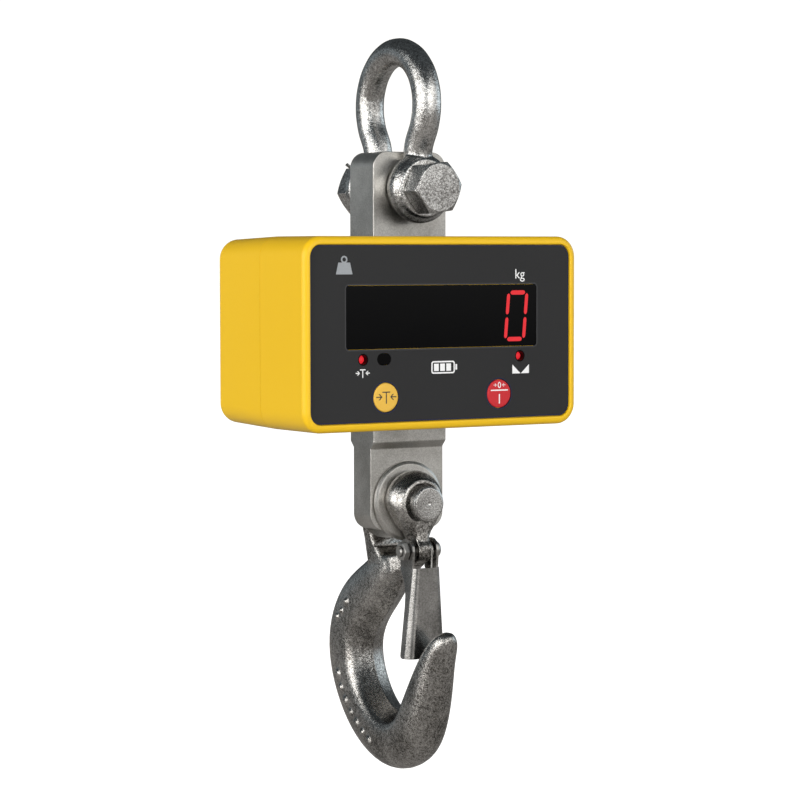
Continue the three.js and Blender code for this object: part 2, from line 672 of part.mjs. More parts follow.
// A barrel-shaped ear about the pin.
function hookEar(side, out) {
  const mid = (EAR_IN + out) / 2;
  const profile = [[0, EAR_IN], [EAR_R - 2.5, EAR_IN], [EAR_R - 0.5, EAR_IN + 3], [EAR_R, mid],
    [EAR_R - 1, out - 3.5], [EAR_R - 4, out], [0, out]];
  return turned(profile.map(([r, y]) => [r, side * y]), 0, PIN_Z);
}

const CROTCH_Z = -281.6;
const LUG_R = 7.6;
const LUG_W = 4.4;
const EAR_ROOM = 9.6; // radius kept clear round the latch's bolt, beside the lug

// The front ear's sides run straight down from the pin to the lug.
const EAR_SIDES = [[18.4, PIN_Z + 22], [18.4, PIN_Z + 1], [13.6, -262], [7.8, -270.4], [5, -276]];

// The two arms of the fork, each an outline in Y and Z trimmed by its width in X and Z.
function hookFork() {
  const rear = plateYZ(
    outline([[EAR_IN, PIN_Z], [24.4, PIN_Z], [21.6, -270], [18, -293], [8, -300], [-10, -290],
      [-10, CROTCH_Z + 2], [EAR_IN, CROTCH_Z + 2]]),
    -20, 20,
  ).intersect(
    plateXZ(outline([[-16.5, PIN_Z], [-13, -268], [-11, -280], [-11, -300], [11, -300], [11, -280],
      [13, -268], [16.5, PIN_Z]]), -40, 40),
  );
  const front = plateYZ(
    outline([[-26.5, PIN_Z], [-EAR_IN, PIN_Z], [-EAR_IN, -278], [-8, CROTCH_Z], [-8, -294],
      [-17, -287], [-28, -283], [-29.5, -276], [-27.2, -266]]),
    -20, 20,
  ).intersect(
    plateXZ(outline([[-16, PIN_Z], [-12.5, -263], [-7, -270], [-LUG_W, -276], [-LUG_W, -296],
      [LUG_W, -296], [LUG_W, -276], [7, -270], [12.5, -263], [16, PIN_Z]]), -40, 40),
  );
  return join(rear, front, rodX(LUG_R, -LUG_W, LUG_W, LATCH_Y, LATCH_Z, 20));
}

function hook() {
  const slot = plateYZ(
    roundedOutline(-EAR_IN, EAR_IN, CROTCH_Z, -200, 5), -40, 40, 4,
  );
  // The sides of the neck are cut away where the latch's ears turn.
  const earRoom = (s) => {
    const [a, b] = s > 0 ? [LUG_W, 20] : [-20, -LUG_W];
    return join(
      rodX(EAR_ROOM, a, b, LATCH_Y, LATCH_Z, 24),
      box(a, b, -34, LATCH_Y, LATCH_Z - EAR_ROOM, LATCH_Z),
    );
  };
  const teardrop = [...EAR_SIDES, ...EAR_SIDES.map(([x, z]) => [-x, z]).reverse()];
  const frontEar = hookEar(-1, EAR_OUT.front).intersect(plateXZ(outline(teardrop), -40, 0));
  return cut(
    join(hookBar(), hookFork(), hookEar(1, EAR_OUT.rear), frontEar),
    slot,
    rodY(PIN_R + 0.7, -40, 0, 0, PIN_Z, 32),
    rodY(PIN_R + GAP, 0, 40, 0, PIN_Z, 32),
    rodX(LATCH_BOLT_R + GAP, -20, 20, LATCH_Y, LATCH_Z, 16),
    rodX(LOCK_R + 0.4, 0, 30, LOCK_Y, PIN_Z, 12),
    earRoom(1),
    earRoom(-1),
  );
}

const PIN_END = { front: -33.8, rear: 31.6, chamfer: 1.6 };
const LOCK_Y = 20; // the roll pin that locks the clevis pin in the rear ear, along X
const LOCK_R = 2.5;
const clevisPin = () =>
  cut(
    turned(
      [[0, PIN_END.front], [PIN_R - PIN_END.chamfer, PIN_END.front],
        [PIN_R, PIN_END.front + PIN_END.chamfer], [PIN_R, PIN_END.rear - PIN_END.chamfer],
        [PIN_R - PIN_END.chamfer, PIN_END.rear], [0, PIN_END.rear]],
      0, PIN_Z,
    ),
    rodX(LOCK_R + 0.4, 2, 30, LOCK_Y, PIN_Z, 12),
  );
const clevisLockPin = () => rodX(LOCK_R, 3, 19, LOCK_Y, PIN_Z, 12);
const hookWasher = (side) => {
  const [a, b] = [TANG_T + GAP, EAR_IN - GAP];
  return cut(
    turned(
      [[0, a], [WASHER_R, a], [WASHER_R, b - 1.2], [WASHER_R - 1.6, b], [0, b]]
        .map(([r, y]) => [r, side * y]),
      0, PIN_Z,
    ),
    rodY(PIN_R + GAP, -20, 20, 0, PIN_Z, 32),
  );
};

// ---- latch ----
const SHEET = 1.5;
const LATCH_TOP = { z: -290.5, w: 9, front: -32.4 };
const LATCH_END = { z: -343.2, w: 13.6, front: -31.6 };
const LATCH_BEND = 3.9; // outside radius where the plate turns into its flanges
const FLANGE_REAR = [[-16, -290.5], [-17.4, -293], [-22.4, -301], [-24, -311], [-23.2, -343.2]];

// One level of the channel in X and Y: a rear end, a bend, the plate, a bend and a rear end.
function latchRing({ z, w, front }, inset) {
  const bend = LATCH_BEND - inset;
  const corner = (side, from) =>
    [0, 1, 2, 3].map((k) => {
      const a = from + (k * Math.PI) / 6;
      return new THREE.Vector3(
        side * (w - LATCH_BEND) + bend * Math.cos(a), front + LATCH_BEND + bend * Math.sin(a), z,
      );
    });
  return [
    new THREE.Vector3(-w + inset, -12 + inset, z),
    ...corner(-1, Math.PI),
    ...corner(1, Math.PI * 1.5),
    new THREE.Vector3(w - inset, -12 + inset, z),
  ];
}
function latch() {
  const beyond = (level, dz) => ({ ...level, z: level.z + dz });
  const channel = cut(
    loft([latchRing(LATCH_TOP, 0), latchRing(LATCH_END, 0)]),
    loft([latchRing(beyond(LATCH_TOP, 1), SHEET), latchRing(beyond(LATCH_END, -1), SHEET)]),
  ).intersect(
    plateYZ(outline([[-40, LATCH_TOP.z], ...FLANGE_REAR, [-40, LATCH_END.z]]), -20, 20),
  );
  const ear = (s) => {
    const [a, b] = s > 0 ? [LATCH_TOP.w - SHEET, LATCH_TOP.w] : [-LATCH_TOP.w, SHEET - LATCH_TOP.w];
    const web = outline([[LATCH_Y - 7, LATCH_Z + 1], [LATCH_TOP.front + LATCH_BEND, LATCH_TOP.z - 1],
      [-17, LATCH_TOP.z - 1], [LATCH_Y + 7, LATCH_Z]]);
    return join(rodX(7.2, a, b, LATCH_Y, LATCH_Z, 24), plateYZ(web, a, b));
  };
  return cut(
    join(channel, ear(1), ear(-1)),
    rodX(LATCH_BOLT_R + GAP, -20, 20, LATCH_Y, LATCH_Z, 16),
  );
}

function latchBolt() {
  const out = LATCH_TOP.w + GAP;
  const profile = [[0, -14.6], [LATCH_BOLT_R - 0.6, -14.6], [LATCH_BOLT_R, -14], [LATCH_BOLT_R, out],
    [5.2, out], [5.2, out + 1.6], [4.2, out + 3.2], [2.4, out + 4], [0, out + 4]];
  const lathe = new THREE.LatheGeometry(profile.map(([r, y]) => new THREE.Vector2(r, y)), 20);
  return solidOf(lathe.rotateZ(-Math.PI / 2).translate(0, LATCH_Y, LATCH_Z));
}
const latchNut = () =>
  cut(
    rodX(5.6, -LATCH_TOP.w - GAP - 3.6, -LATCH_TOP.w - GAP, LATCH_Y, LATCH_Z, 6),
    rodX(LATCH_BOLT_R + GAP, -20, 0, LATCH_Y, LATCH_Z, 16),
  );
// Two coils beside the lug, a leg up along the neck and a leg down behind the latch's plate.
function latchSpring() {
  const wire = 0.7;
  const mean = 4.9;
  const x = LUG_W + GAP + 0.9;
  const coil = cut(
    rodX(mean + wire, x - 0.9, x + 0.8, LATCH_Y, LATCH_Z, 24),
    rodX(mean - wire, x - 2, x + 2, LATCH_Y, LATCH_Z, 24),
  );
  const leg = bar(
    along([x, LATCH_Y - mean, LATCH_Z], [x, LATCH_Y - mean - 0.3, LATCH_Z - 8],
      [x - 1, LATCH_Y - mean - 0.4, LATCH_Z - 20]),
    wire, 8, 8,
  );
  return join(coil, leg);
}

// ---- the whole scale ----
const scale = new THREE.Group();
scale.add(
  piece("shackle_bow", shackleBow(), FORGED),
  piece("shackle_bolt", shackleBolt(), FORGED),
  piece("shackle_nut", shackleNut(), FORGED),
  piece("shackle_split_pin", shackleSplitPin(), ZINC),
  piece("load_cell", loadCell(), STEEL),
  piece("gauge_cover_front", gaugeCover(-1), STEEL),
  piece("gauge_cover_rear", gaugeCover(1), STEEL),
  piece("front_case", frontCase(), YELLOW),
  piece("rear_case", rearCase(), YELLOW),
  piece("case_gasket_left", gasketGroove(-1, 0), RUBBER),
  piece("case_gasket_right", gasketGroove(1, 0), RUBBER),
  piece("top_seal", cellSeal(true), RUBBER),
  piece("bottom_seal", cellSeal(false), RUBBER),
  piece("front_panel", frontPanel(), BLACK),
  piece("display_window", displayWindow(), GLOSS_BLACK),
  piece("ir_window", irWindow(), GLOSS_BLACK),
  piece("led_display", ledDisplay(), RED_LAMP),
  piece("display_board", displayBoard(), GREEN_BOARD),
  piece("ir_receiver", irReceiver(), GLOSS_BLACK),
  piece("tare_lamp", lamp(-LAMP_X), RED_LAMP),
  piece("stable_lamp", lamp(LAMP_X), RED_LAMP),
  piece("tare_switch", keySwitch(-KEY_X), GREY_PLASTIC),
  piece("zero_switch", keySwitch(KEY_X), GREY_PLASTIC),
  piece("main_board", mainBoard(), GREEN_BOARD),
  piece("cell_cable", cellCable(), RUBBER),
  piece("battery_pack", batteryPack(), BATTERY_BLUE),
  piece("battery_tray", batteryTray(), ZINC),
  piece("battery_door", batteryDoor(), YELLOW),
  piece("charge_socket", chargeSocket(), GREY_PLASTIC),
  piece("socket_cover", socketCover(), RUBBER),
  piece("cell_bracket_left", cellBracket(-1), ZINC),
  piece("cell_bracket_right", cellBracket(1), ZINC),
  piece("tare_key", key(-KEY_X), TARE_YELLOW),
  piece("zero_key", key(KEY_X), ZERO_RED),
  piece("hook", hook(), FORGED),
  piece("clevis_pin", clevisPin(), FORGED),
  piece("clevis_lock_pin", clevisLockPin(), ZINC),
  piece("hook_washer_front", hookWasher(-1), STEEL),
  piece("hook_washer_rear", hookWasher(1), STEEL),
  piece("latch", latch(), ZINC),
  piece("latch_bolt", latchBolt(), ZINC),
  piece("latch_nut", latchNut(), ZINC),
  piece("latch_spring", latchSpring(), ZINC),
);
CELL_BOLTS.forEach((at, i) => scale.add(piece(`bracket_bolt_${i + 1}`, bracketBolt(at), ZINC)));
TRAY_SCREWS.forEach((at, i) => scale.add(piece(`tray_screw_${i + 1}`, trayScrew(at), ZINC)));
CASE_SCREWS.forEach((at, i) => scale.add(piece(`case_screw_${i + 1}`, caseScrew(at), ZINC)));
[-1, 1].forEach((s, i) => {
  scale.add(piece(`door_screw_${i + 1}`, doorScrew(s), ZINC));
  scale.add(piece(`board_screw_${i + 1}`, boardScrew(s), ZINC));
});

export default scale;
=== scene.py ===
# A hanging crane scale: bow shackle, load cell in a yellow display case, clevis hook with a latch.
# Shapes are drawn in millimetres in the scale's own frame and end in metres. The load line is the
# Z axis, the display faces -Y, and the origin is where the crane's hook carries the shackle.
import math

import bmesh
import bpy
from mathutils import Matrix, Vector


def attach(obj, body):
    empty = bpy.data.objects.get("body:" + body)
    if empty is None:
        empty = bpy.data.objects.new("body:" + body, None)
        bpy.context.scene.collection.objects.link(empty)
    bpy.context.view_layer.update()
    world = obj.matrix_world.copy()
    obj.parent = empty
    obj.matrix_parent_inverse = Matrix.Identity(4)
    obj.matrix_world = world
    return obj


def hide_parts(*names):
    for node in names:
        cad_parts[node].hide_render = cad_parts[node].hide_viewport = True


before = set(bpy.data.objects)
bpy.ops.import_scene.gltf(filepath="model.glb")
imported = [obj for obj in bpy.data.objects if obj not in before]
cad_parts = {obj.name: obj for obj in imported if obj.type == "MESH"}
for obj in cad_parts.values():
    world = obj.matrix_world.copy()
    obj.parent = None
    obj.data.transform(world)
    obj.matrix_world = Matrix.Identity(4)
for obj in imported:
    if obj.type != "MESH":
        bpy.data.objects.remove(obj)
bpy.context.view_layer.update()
scene = bpy.context.scene

# ---------------------------------------------------------------- camera
# A long lens, a little to the left of the display and level with the shackle, looking slightly
# down at the middle of the scale.
HEADING, DIP, ROLL = math.radians(32.42), math.radians(3.11), math.radians(-0.08)
CAMERA_AT = (-0.85677, -1.35099, -0.10753)
lens = bpy.data.cameras.new("camera")
lens.sensor_width = 36.0
lens.lens = 122.78
lens.clip_start = 0.05
lens.clip_end = 60.0
camera = bpy.data.objects.new("camera", lens)
scene.collection.objects.link(camera)
ahead = Vector((
    math.sin(HEADING) * math.cos(DIP), math.cos(HEADING) * math.cos(DIP), -math.sin(DIP),
))
level_right = Vector((math.cos(HEADING), -math.sin(HEADING), 0))
level_up = level_right.cross(ahead)
right = math.cos(ROLL) * level_right + math.sin(ROLL) * level_up
up = math.cos(ROLL) * level_up - math.sin(ROLL) * level_right
turn = Matrix((right, up, -ahead)).transposed().to_4x4()
camera.matrix_world = Matrix.Translation(CAMERA_AT) @ turn
scene.camera = camera
scene.view_settings.view_transform = "Standard"


# ---------------------------------------------------------------- shading by formula
# Wire lets the maths of a finish read as plain Python; Finish holds one material and makes its
# nodes. The world, the floor and every piece below are finished with them.
class Wire:
    def __init__(self, finish, socket):
        self.finish = finish
        self.socket = socket

    def math(self, operation, first, second):
        return self.finish.node("Math", {"operation": operation}, {0: first, 1: second})

    def __add__(self, other):
        return self.math("ADD", self, other)

    def __radd__(self, other):
        return self.math("ADD", other, self)

    def __sub__(self, other):
        return self.math("SUBTRACT", self, other)

    def __rsub__(self, other):
        return self.math("SUBTRACT", other, self)

    def __mul__(self, other):
        return self.math("MULTIPLY", self, other)

    def __rmul__(self, other):
        return self.math("MULTIPLY", other, self)

    def __truediv__(self, other):
        return self.math("DIVIDE", self, other)

    def __pow__(self, other):
        return self.math("POWER", self, other)


class Finish:
    def __init__(self, name, **constants):
        self.material = bpy.data.materials.new(name)
        self.material.use_nodes = True
        self.tree = self.material.node_tree
        self.shader = self.tree.nodes["Principled BSDF"]
        self.give(**constants)

    def give(self, **values):
        """Set or link the shader's sockets: base_color=..., roughness=... and so on."""
        for key, value in values.items():
            label = key.replace("_", " ").title().replace("Ior", "IOR")
            self.feed(self.shader.inputs[label], value)

    def feed(self, socket, value):
        if isinstance(value, Wire):
            self.tree.links.new(value.socket, socket)
        elif isinstance(value, tuple) and len(value) == 3 and socket.type == "RGBA":
            socket.default_value = (*value, 1.0)
        else:
            socket.default_value = value

    def node(self, kind, settings=(), inputs=(), output=0):
        made = self.tree.nodes.new("ShaderNode" + kind)
        settings = dict(settings)
        stops = settings.pop("stops", None)
        for key, value in settings.items():
            setattr(made, key, value)
        if stops:
            elements = made.color_ramp.elements
            while len(elements) < len(stops):
                elements.new(0.5)
            for element, (position, color) in zip(elements, stops):
                element.position = position
                element.color = (*color, 1.0)
        for key, value in dict(inputs).items():
            self.feed(made.inputs[key], value)
        return Wire(self, made.outputs[output])

    def place(self, stretch=(1, 1, 1)):
        """Object coordinates, squeezed or stretched along the axes."""
        at = self.node("TexCoord", {}, {}, "Object")
        return self.node("Mapping", {}, {"Vector": at, "Scale": stretch})

    def noise(self, scale, detail=2.0, rough=0.5, stretch=(1, 1, 1), distortion=0.0):
        return self.node("TexNoise", {}, {
            "Vector": self.place(stretch), "Scale": scale, "Detail": detail,
            "Roughness": rough, "Distortion": distortion,
        })

    def cells(self, scale, output="Distance", feature="F1"):
        return self.node(
            "TexVoronoi", {"feature": feature}, {"Vector": self.place(), "Scale": scale}, output,
        )

    def ramp(self, value, *stops):
        """A grey ramp: pairs of position and brightness."""
        greys = [(position, (grey, grey, grey)) for position, grey in stops]
        return self.node("ValToRGB", {"stops": greys}, {"Fac": value})

    def blend(self, share, first, second):
        return self.node(
            "Mix", {"data_type": "RGBA", "clamp_factor": True}, {0: share, 6: first, 7: second}, 2,
        )

    def bump(self, height, depth, strength=1.0, under=None):
        """A normal from a height; depth is in metres."""
        inputs = {"Height": height, "Distance": depth, "Strength": strength}
        if under is not None:
            inputs["Normal"] = under
        return self.node("Bump", {}, inputs)


# ---------------------------------------------------------------- studio
# A floor well under the scale and a sky, both white to the camera. To everything else the sky is
# dim, with five soft panels of light in it for the metal to mirror. Three lamps that the metal
# doesn't mirror fill in the plain surfaces.
FLOOR_Z, FLOOR_HALF = -0.62, 14.0
CENTRE = (0.0, 0.0, -0.17)
DIM_SKY, WHITE_SKY = 0.07, 1.1
PANEL_FADE = 0.2

world = bpy.data.worlds.new("studio")
scene.world = world
world.use_nodes = True


class Surround(Finish):
    """The same sums, for the world's own nodes."""

    def __init__(self, of):
        self.tree = of.node_tree
        self.shader = self.tree.nodes["Background"]


def eased(surround, value, start, end):
    """0 up to the start and 1 from the end on, with a smooth change between them."""
    return surround.node(
        "MapRange", {"interpolation_type": "SMOOTHSTEP"}, {0: value, 1: start, 2: end},
    )


def panel_of_light(surround, heading, narrow, wide, low, high):
    """A soft panel at a compass heading, between two heights on the sky sphere.

    It is full out to the narrow angle and gone at the wide one. Angles are in degrees.
    """
    way = surround.node("TexCoord", {}, {}, "Generated")
    across = surround.node("SeparateXYZ", {}, {0: way}, "X")
    along = surround.node("SeparateXYZ", {}, {0: way}, "Y")
    height = surround.node("SeparateXYZ", {}, {0: way}, "Z")
    angle = math.radians(heading)
    level = (across * across + along * along + 0.0001) ** 0.5
    facing = (across * math.cos(angle) + along * math.sin(angle)) / level
    width = eased(surround, facing, math.cos(math.radians(wide)), math.cos(math.radians(narrow)))
    top = eased(surround, height, high + PANEL_FADE, high)
    foot = eased(surround, height, low - PANEL_FADE, low)
    return width * top * foot


sky = Surround(world)
left_light = panel_of_light(sky, 190, 30, 42, -0.5, 0.34)
front_light = panel_of_light(sky, 267, 12, 20, -0.6, 0.34)
right_light = panel_of_light(sky, 305, 13, 27, 0.05, 0.5)
rear_light = panel_of_light(sky, 112, 14, 34, -0.02, 0.2)
far_light = panel_of_light(sky, 354, 12, 26, -0.5, 0.3)
mirrored = (
    DIM_SKY + left_light * 2.9 + front_light * 2.2 + right_light * 0.95 + rear_light * 0.20
    + far_light * 1.1
)
camera_sees = sky.node("LightPath", {}, {}, "Is Camera Ray")
# The dim sky is bluish, and the three nearest panels are warm.
sky.feed(sky.shader.inputs["Color"], sky.blend(
    left_light + front_light + right_light + camera_sees, (0.82, 0.93, 1.0), (1.0, 0.985, 0.96),
))
sky.feed(sky.shader.inputs["Strength"], mirrored * (1 - camera_sees) + camera_sees * WHITE_SKY)

pale = Finish("pale_floor", roughness=0.9, specular_ior_level=0.1)
grain = pale.noise(9.0, 3.0)
pale.give(base_color=pale.blend(grain, (0.27, 0.25, 0.23), (0.31, 0.285, 0.26)))
pale.give(
    emission_color=pale.node("LightPath", {}, {}, "Is Camera Ray") + 0.11, emission_strength=1.0,
)
floor_mesh = bmesh.new()
bmesh.ops.create_grid(floor_mesh, x_segments=2, y_segments=2, size=FLOOR_HALF)
bmesh.ops.translate(floor_mesh, vec=(0, 0, FLOOR_Z), verts=floor_mesh.verts)
floor_data = bpy.data.meshes.new("floor")
floor_mesh.to_mesh(floor_data)
floor_mesh.free()
floor_data.materials.append(pale.material)
floor = bpy.data.objects.new("floor", floor_data)
scene.collection.objects.link(floor)


def softbox(name, at, width, height, watts):
    """A lamp aimed at the middle of the scale, which neither the camera nor a mirror sees."""
    light = bpy.data.lights.new(name, "AREA")
    light.shape = "RECTANGLE"
    light.size = width
    light.size_y = height
    light.energy = watts
    lamp = bpy.data.objects.new(name, light)
    scene.collection.objects.link(lamp)
    lamp.location = at
    lamp.rotation_euler = (Vector(CENTRE) - Vector(at)).to_track_quat("-Z", "Y").to_euler()
    lamp.visible_camera = False
    lamp.visible_glossy = False


softbox("fill_left", (-2.4, -0.9, 0.1), 1.2, 0.9, 26)
softbox("fill_front", (0.5, -2.5, 0.15), 1.2, 0.9, 20)
softbox("fill_rear", (0.6, 2.2, 0.3), 1.8, 1.2, 12)

# ---------------------------------------------------------------- load cell
# One bar of stainless steel, milled to shape and bead-blasted. The shackle's bolt and the hook's
# pin pass through its ends, and strain gauges sit in two round pockets behind thin covers.
MM = 0.001
BOLT_Z, PIN_Z, CASE_Z = -71.0, -253.1, -153.7
CELL_W, CELL_T, TANG_T = 25.0, 13.0, 9.6
CELL_TOP, CELL_BOTTOM = -49.7, -269.8
SHOULDER = (-218.2, -221.8)
GAUGE_R, GAUGE_WEB = 12.0, 2.5


def arc(centre, radius, start, end, steps):
    """Points round an arc, in degrees."""
    found = []
    for step in range(steps + 1):
        angle = math.radians(start + (end - start) * step / steps)
        found.append((centre[0] + radius * math.cos(angle), centre[1] + radius * math.sin(angle)))
    return found


def rounded(left, right_, low, high, radius, steps=10):
    """The outline of a rectangle with round corners."""
    return (
        arc((right_ - radius, low + radius), radius, -90, 0, steps)
        + arc((right_ - radius, high - radius), radius, 0, 90, steps)
        + arc((left + radius, high - radius), radius, 90, 180, steps)
        + arc((left + radius, low + radius), radius, 180, 270, steps)
    )


def slab(points, across, low, high):
    """An outline extruded along the axis that it lies across, from low to high."""
    place = {
        "X": lambda a, b: (low, a, b), "Y": lambda a, b: (a, low, b), "Z": lambda a, b: (a, b, low),
    }[across]
    grow = {"X": (high - low, 0, 0), "Y": (0, high - low, 0), "Z": (0, 0, high - low)}[across]
    bm = bmesh.new()
    base = bm.faces.new([bm.verts.new(place(a, b)) for a, b in points])
    grown = bmesh.ops.extrude_face_region(bm, geom=[base])["geom"]
    moved = [part for part in grown if isinstance(part, bmesh.types.BMVert)]
    bmesh.ops.translate(bm, vec=grow, verts=moved)
    if len(bm.faces) == len(points) + 1:
        bmesh.ops.holes_fill(bm, edges=bm.edges)
    bmesh.ops.recalc_face_normals(bm, faces=bm.faces)
    return bm


def turned(profile, centre, axis="Y", steps=64):
    """A profile of (radius, distance along the axis) spun into a closed solid."""
    bm = bmesh.new()
    line = [bm.verts.new((radius, 0, along)) for radius, along in profile]
    edges = [bm.edges.new(pair) for pair in zip(line, line[1:])]
    bmesh.ops.spin(
        bm, geom=line + edges, cent=(0, 0, 0), axis=(0, 0, 1), angle=math.tau,
        steps=steps, use_merge=True,
    )
    bmesh.ops.remove_doubles(bm, verts=bm.verts, dist=1e-4)
    bmesh.ops.recalc_face_normals(bm, faces=bm.faces)
    facing = {"X": Matrix.Rotation(math.pi / 2, 4, "Y"), "Z": Matrix.Identity(4),
              "Y": Matrix.Rotation(-math.pi / 2, 4, "X")}[axis]
    bmesh.ops.transform(bm, matrix=Matrix.Translation(centre) @ facing, verts=bm.verts)
    return bm


def rod(radius, low, high, centre, axis="Y", steps=48):
    return turned([(0, low), (radius, low), (radius, high), (0, high)], centre, axis, steps)


def as_object(bm, name="work"):
    mesh = bpy.data.meshes.new(name)
    bm.to_mesh(mesh)
    bm.free()
    made = bpy.data.objects.new(name, mesh)
    scene.collection.objects.link(made)
    return made


def with_modifiers(bm, *recipes):
    """The bmesh after modifiers, each given as its type and its settings."""
    work = as_object(bm)
    for kind, settings in recipes:
        modifier = work.modifiers.new(kind.lower(), kind)
        for key, value in settings.items():
            setattr(modifier, key, value)
    made = bmesh.new()
    made.from_object(work, bpy.context.evaluated_depsgraph_get())
    mesh = work.data
    bpy.data.objects.remove(work)
    bpy.data.meshes.remove(mesh)
    return made


def combined(base, how, *tools):
    """Join, cut or keep the overlap: how is UNION, DIFFERENCE or INTERSECT."""
    for tool in tools:
        other = as_object(tool, "tool")
        base = with_modifiers(
            base, ("BOOLEAN", {"object": other, "operation": how, "solver": "EXACT"}),
        )
        mesh = other.data
        bpy.data.objects.remove(other)
        bpy.data.meshes.remove(mesh)
    return base


def cut(base, *tools):
    return combined(base, "DIFFERENCE", *tools)


def joined(base, *others):
    return combined(base, "UNION", *others)


def soften(bm, width, segments=2, sharper_than=30.0, only=None):
    """Round the sharp edges, or only those that pass a test on their two ends."""
    chosen = []
    for edge in bm.edges:
        if len(edge.link_faces) != 2 or edge.calc_face_angle(0) < math.radians(sharper_than):
            continue
        if only is None or all(only(vert.co) for vert in edge.verts):
            chosen.append(edge)
    bmesh.ops.bevel(
        bm, geom=chosen, offset=width, offset_type="OFFSET", segments=segments, profile=0.5,
        affect="EDGES", material=-1, clamp_overlap=True,
    )
    return bm


def piece(name, bm, body, finish, stands_for=(), smooth=38.0):
    """Turn a bmesh in millimetres into a finished piece in metres on its body."""
    bmesh.ops.scale(bm, vec=(MM, MM, MM), verts=bm.verts)
    made = as_object(bm, name)
    made.data.name = name
    made.data.polygons.foreach_set("use_smooth", [True] * len(made.data.polygons))
    made.data.set_sharp_from_angle(angle=math.radians(smooth))
    made.data.materials.append(finish.material)
    if smooth < 45:
        even = made.modifiers.new("even_shading", "WEIGHTED_NORMAL")
        even.keep_sharp = True
    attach(made, body)
    if stands_for:
        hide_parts(*([stands_for] if isinstance(stands_for, str) else stands_for))
    return made


def recoat(finish, *nodes):
    """Give a CAD piece whose shape is already right its finish."""
    for name in nodes:
        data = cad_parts[name].data
        data.materials.clear()
        data.materials.append(finish.material)


stainless = Finish("blasted_stainless", metallic=1.0)
blast = stainless.noise(1500.0, 3.0, 0.6)
cloud = stainless.noise(28.0, 4.0, 0.6)
drawn = stainless.noise(260.0, 3.0, 0.6, (1.0, 1.0, 0.16))
stainless.give(
    base_color=stainless.blend(
        stainless.ramp(cloud * 0.6 + blast * 0.4, (0.36, 0.0), (0.64, 1.0)),
        (0.40, 0.385, 0.36), (0.80, 0.785, 0.75),
    ),
    roughness=0.24 + cloud * 0.14 + blast * 0.10,
    normal=stainless.bump(blast * 0.8 + drawn * 0.4, 0.00016, 0.6),
)

cell_side = [
    (-CELL_T, CELL_TOP), (-CELL_T, SHOULDER[0]), (-TANG_T, SHOULDER[1]), (-TANG_T, CELL_BOTTOM),
    (TANG_T, CELL_BOTTOM), (TANG_T, SHOULDER[1]), (CELL_T, SHOULDER[0]), (CELL_T, CELL_TOP),
]
cell = combined(
    slab(cell_side, "X", -CELL_W, CELL_W), "INTERSECT",
    slab(rounded(-CELL_W, CELL_W, CELL_BOTTOM, CELL_TOP, 9.5, 14), "Y", -20, 20),
)
soften(cell, 0.55, 3, 25)
cell = cut(
    cell,
    rod(9.95, -20, 20, (0, 0, BOLT_Z)),
    rod(10.7, -20, 20, (0, 0, PIN_Z)),
    rod(GAUGE_R, -20, -GAUGE_WEB, (0, 0, CASE_Z)),
    rod(GAUGE_R, GAUGE_WEB, 20, (0, 0, CASE_Z)),
)
piece("load_cell_bar", cell, "scale_body", stainless, "load_cell", 30)
recoat(stainless, "gauge_cover_front", "gauge_cover_rear")

# ---------------------------------------------------------------- case shells
# Two cast aluminium shells under a satin yellow powder coat. They meet at a fine seam on the
# middle of the load cell; the front one carries the display in a shallow recess.
CASE_W, CASE_H = 93.0, 55.0
CASE_FRONT, CASE_REAR = -49.5, 50.0
CASE_CORNER, WALL = 12.0, 3.2
DRAFT = 1.6
PANEL_W, PANEL_H, PANEL_CORNER = 88.2, 50.0, 7.0
PANEL_Y = -48.0
SEAM, SEAM_EDGE = 0.12, 0.14
KEY_R, KEY_X, KEY_Z = 8.15, 38.7, CASE_Z - 36
LAMP_X, LAMP_Z = 53.6, CASE_Z - 14.4
IR_X = -39.7
CASE_SCREWS = [(-82, 43), (82, 43), (-82, -43), (82, -43)]
TRAY_SCREWS = [(-50, 24), (50, 24), (-50, -24), (50, -24)]
DOOR_W, DOOR_LOW, DOOR_HIGH, DOOR_Y = 41.0, CASE_Z - 40, CASE_Z + 37, 46.4
DOOR_SCREW_X, DOOR_SCREW_Z = 46.0, CASE_Z - 34
SOCKET_X, SOCKET_Z = 72.0, CASE_Z - 22

yellow = Finish("yellow_powder_coat", specular_ior_level=0.4, coat_roughness=0.22)
peel = yellow.noise(620.0, 2.0, 0.5)
drift = yellow.noise(14.0, 3.0, 0.5)
yellow.give(
    base_color=yellow.blend(drift, (0.87, 0.525, 0.010), (0.90, 0.555, 0.014)),
    roughness=0.36 + peel * 0.08,
    coat_weight=0.15 + drift * 0.1,
    normal=yellow.bump(peel, 0.00006, 0.35),
)


def case_block(low, high, inset):
    """A rounded block of the case's outline, or of its inside when there is an inset."""
    return slab(
        rounded(-CASE_W + inset, CASE_W - inset, -CASE_H + inset, CASE_H - inset,
                max(CASE_CORNER - inset, 2), 14),
        "Y", low, high,
    )


def drafted(bm):
    """Taper the rear half a little, as a casting is, and lift the block to its height."""
    for vert in bm.verts:
        vert.co.z *= 1 - max(vert.co.y / CASE_REAR, 0) * DRAFT / CASE_H
    bmesh.ops.translate(bm, vec=(0, 0, CASE_Z), verts=bm.verts)
    return bm


def cell_opening():
    return slab(rounded(-27.2, 27.2, -15.2, 15.2, 2, 4), "Z", -230, -80)


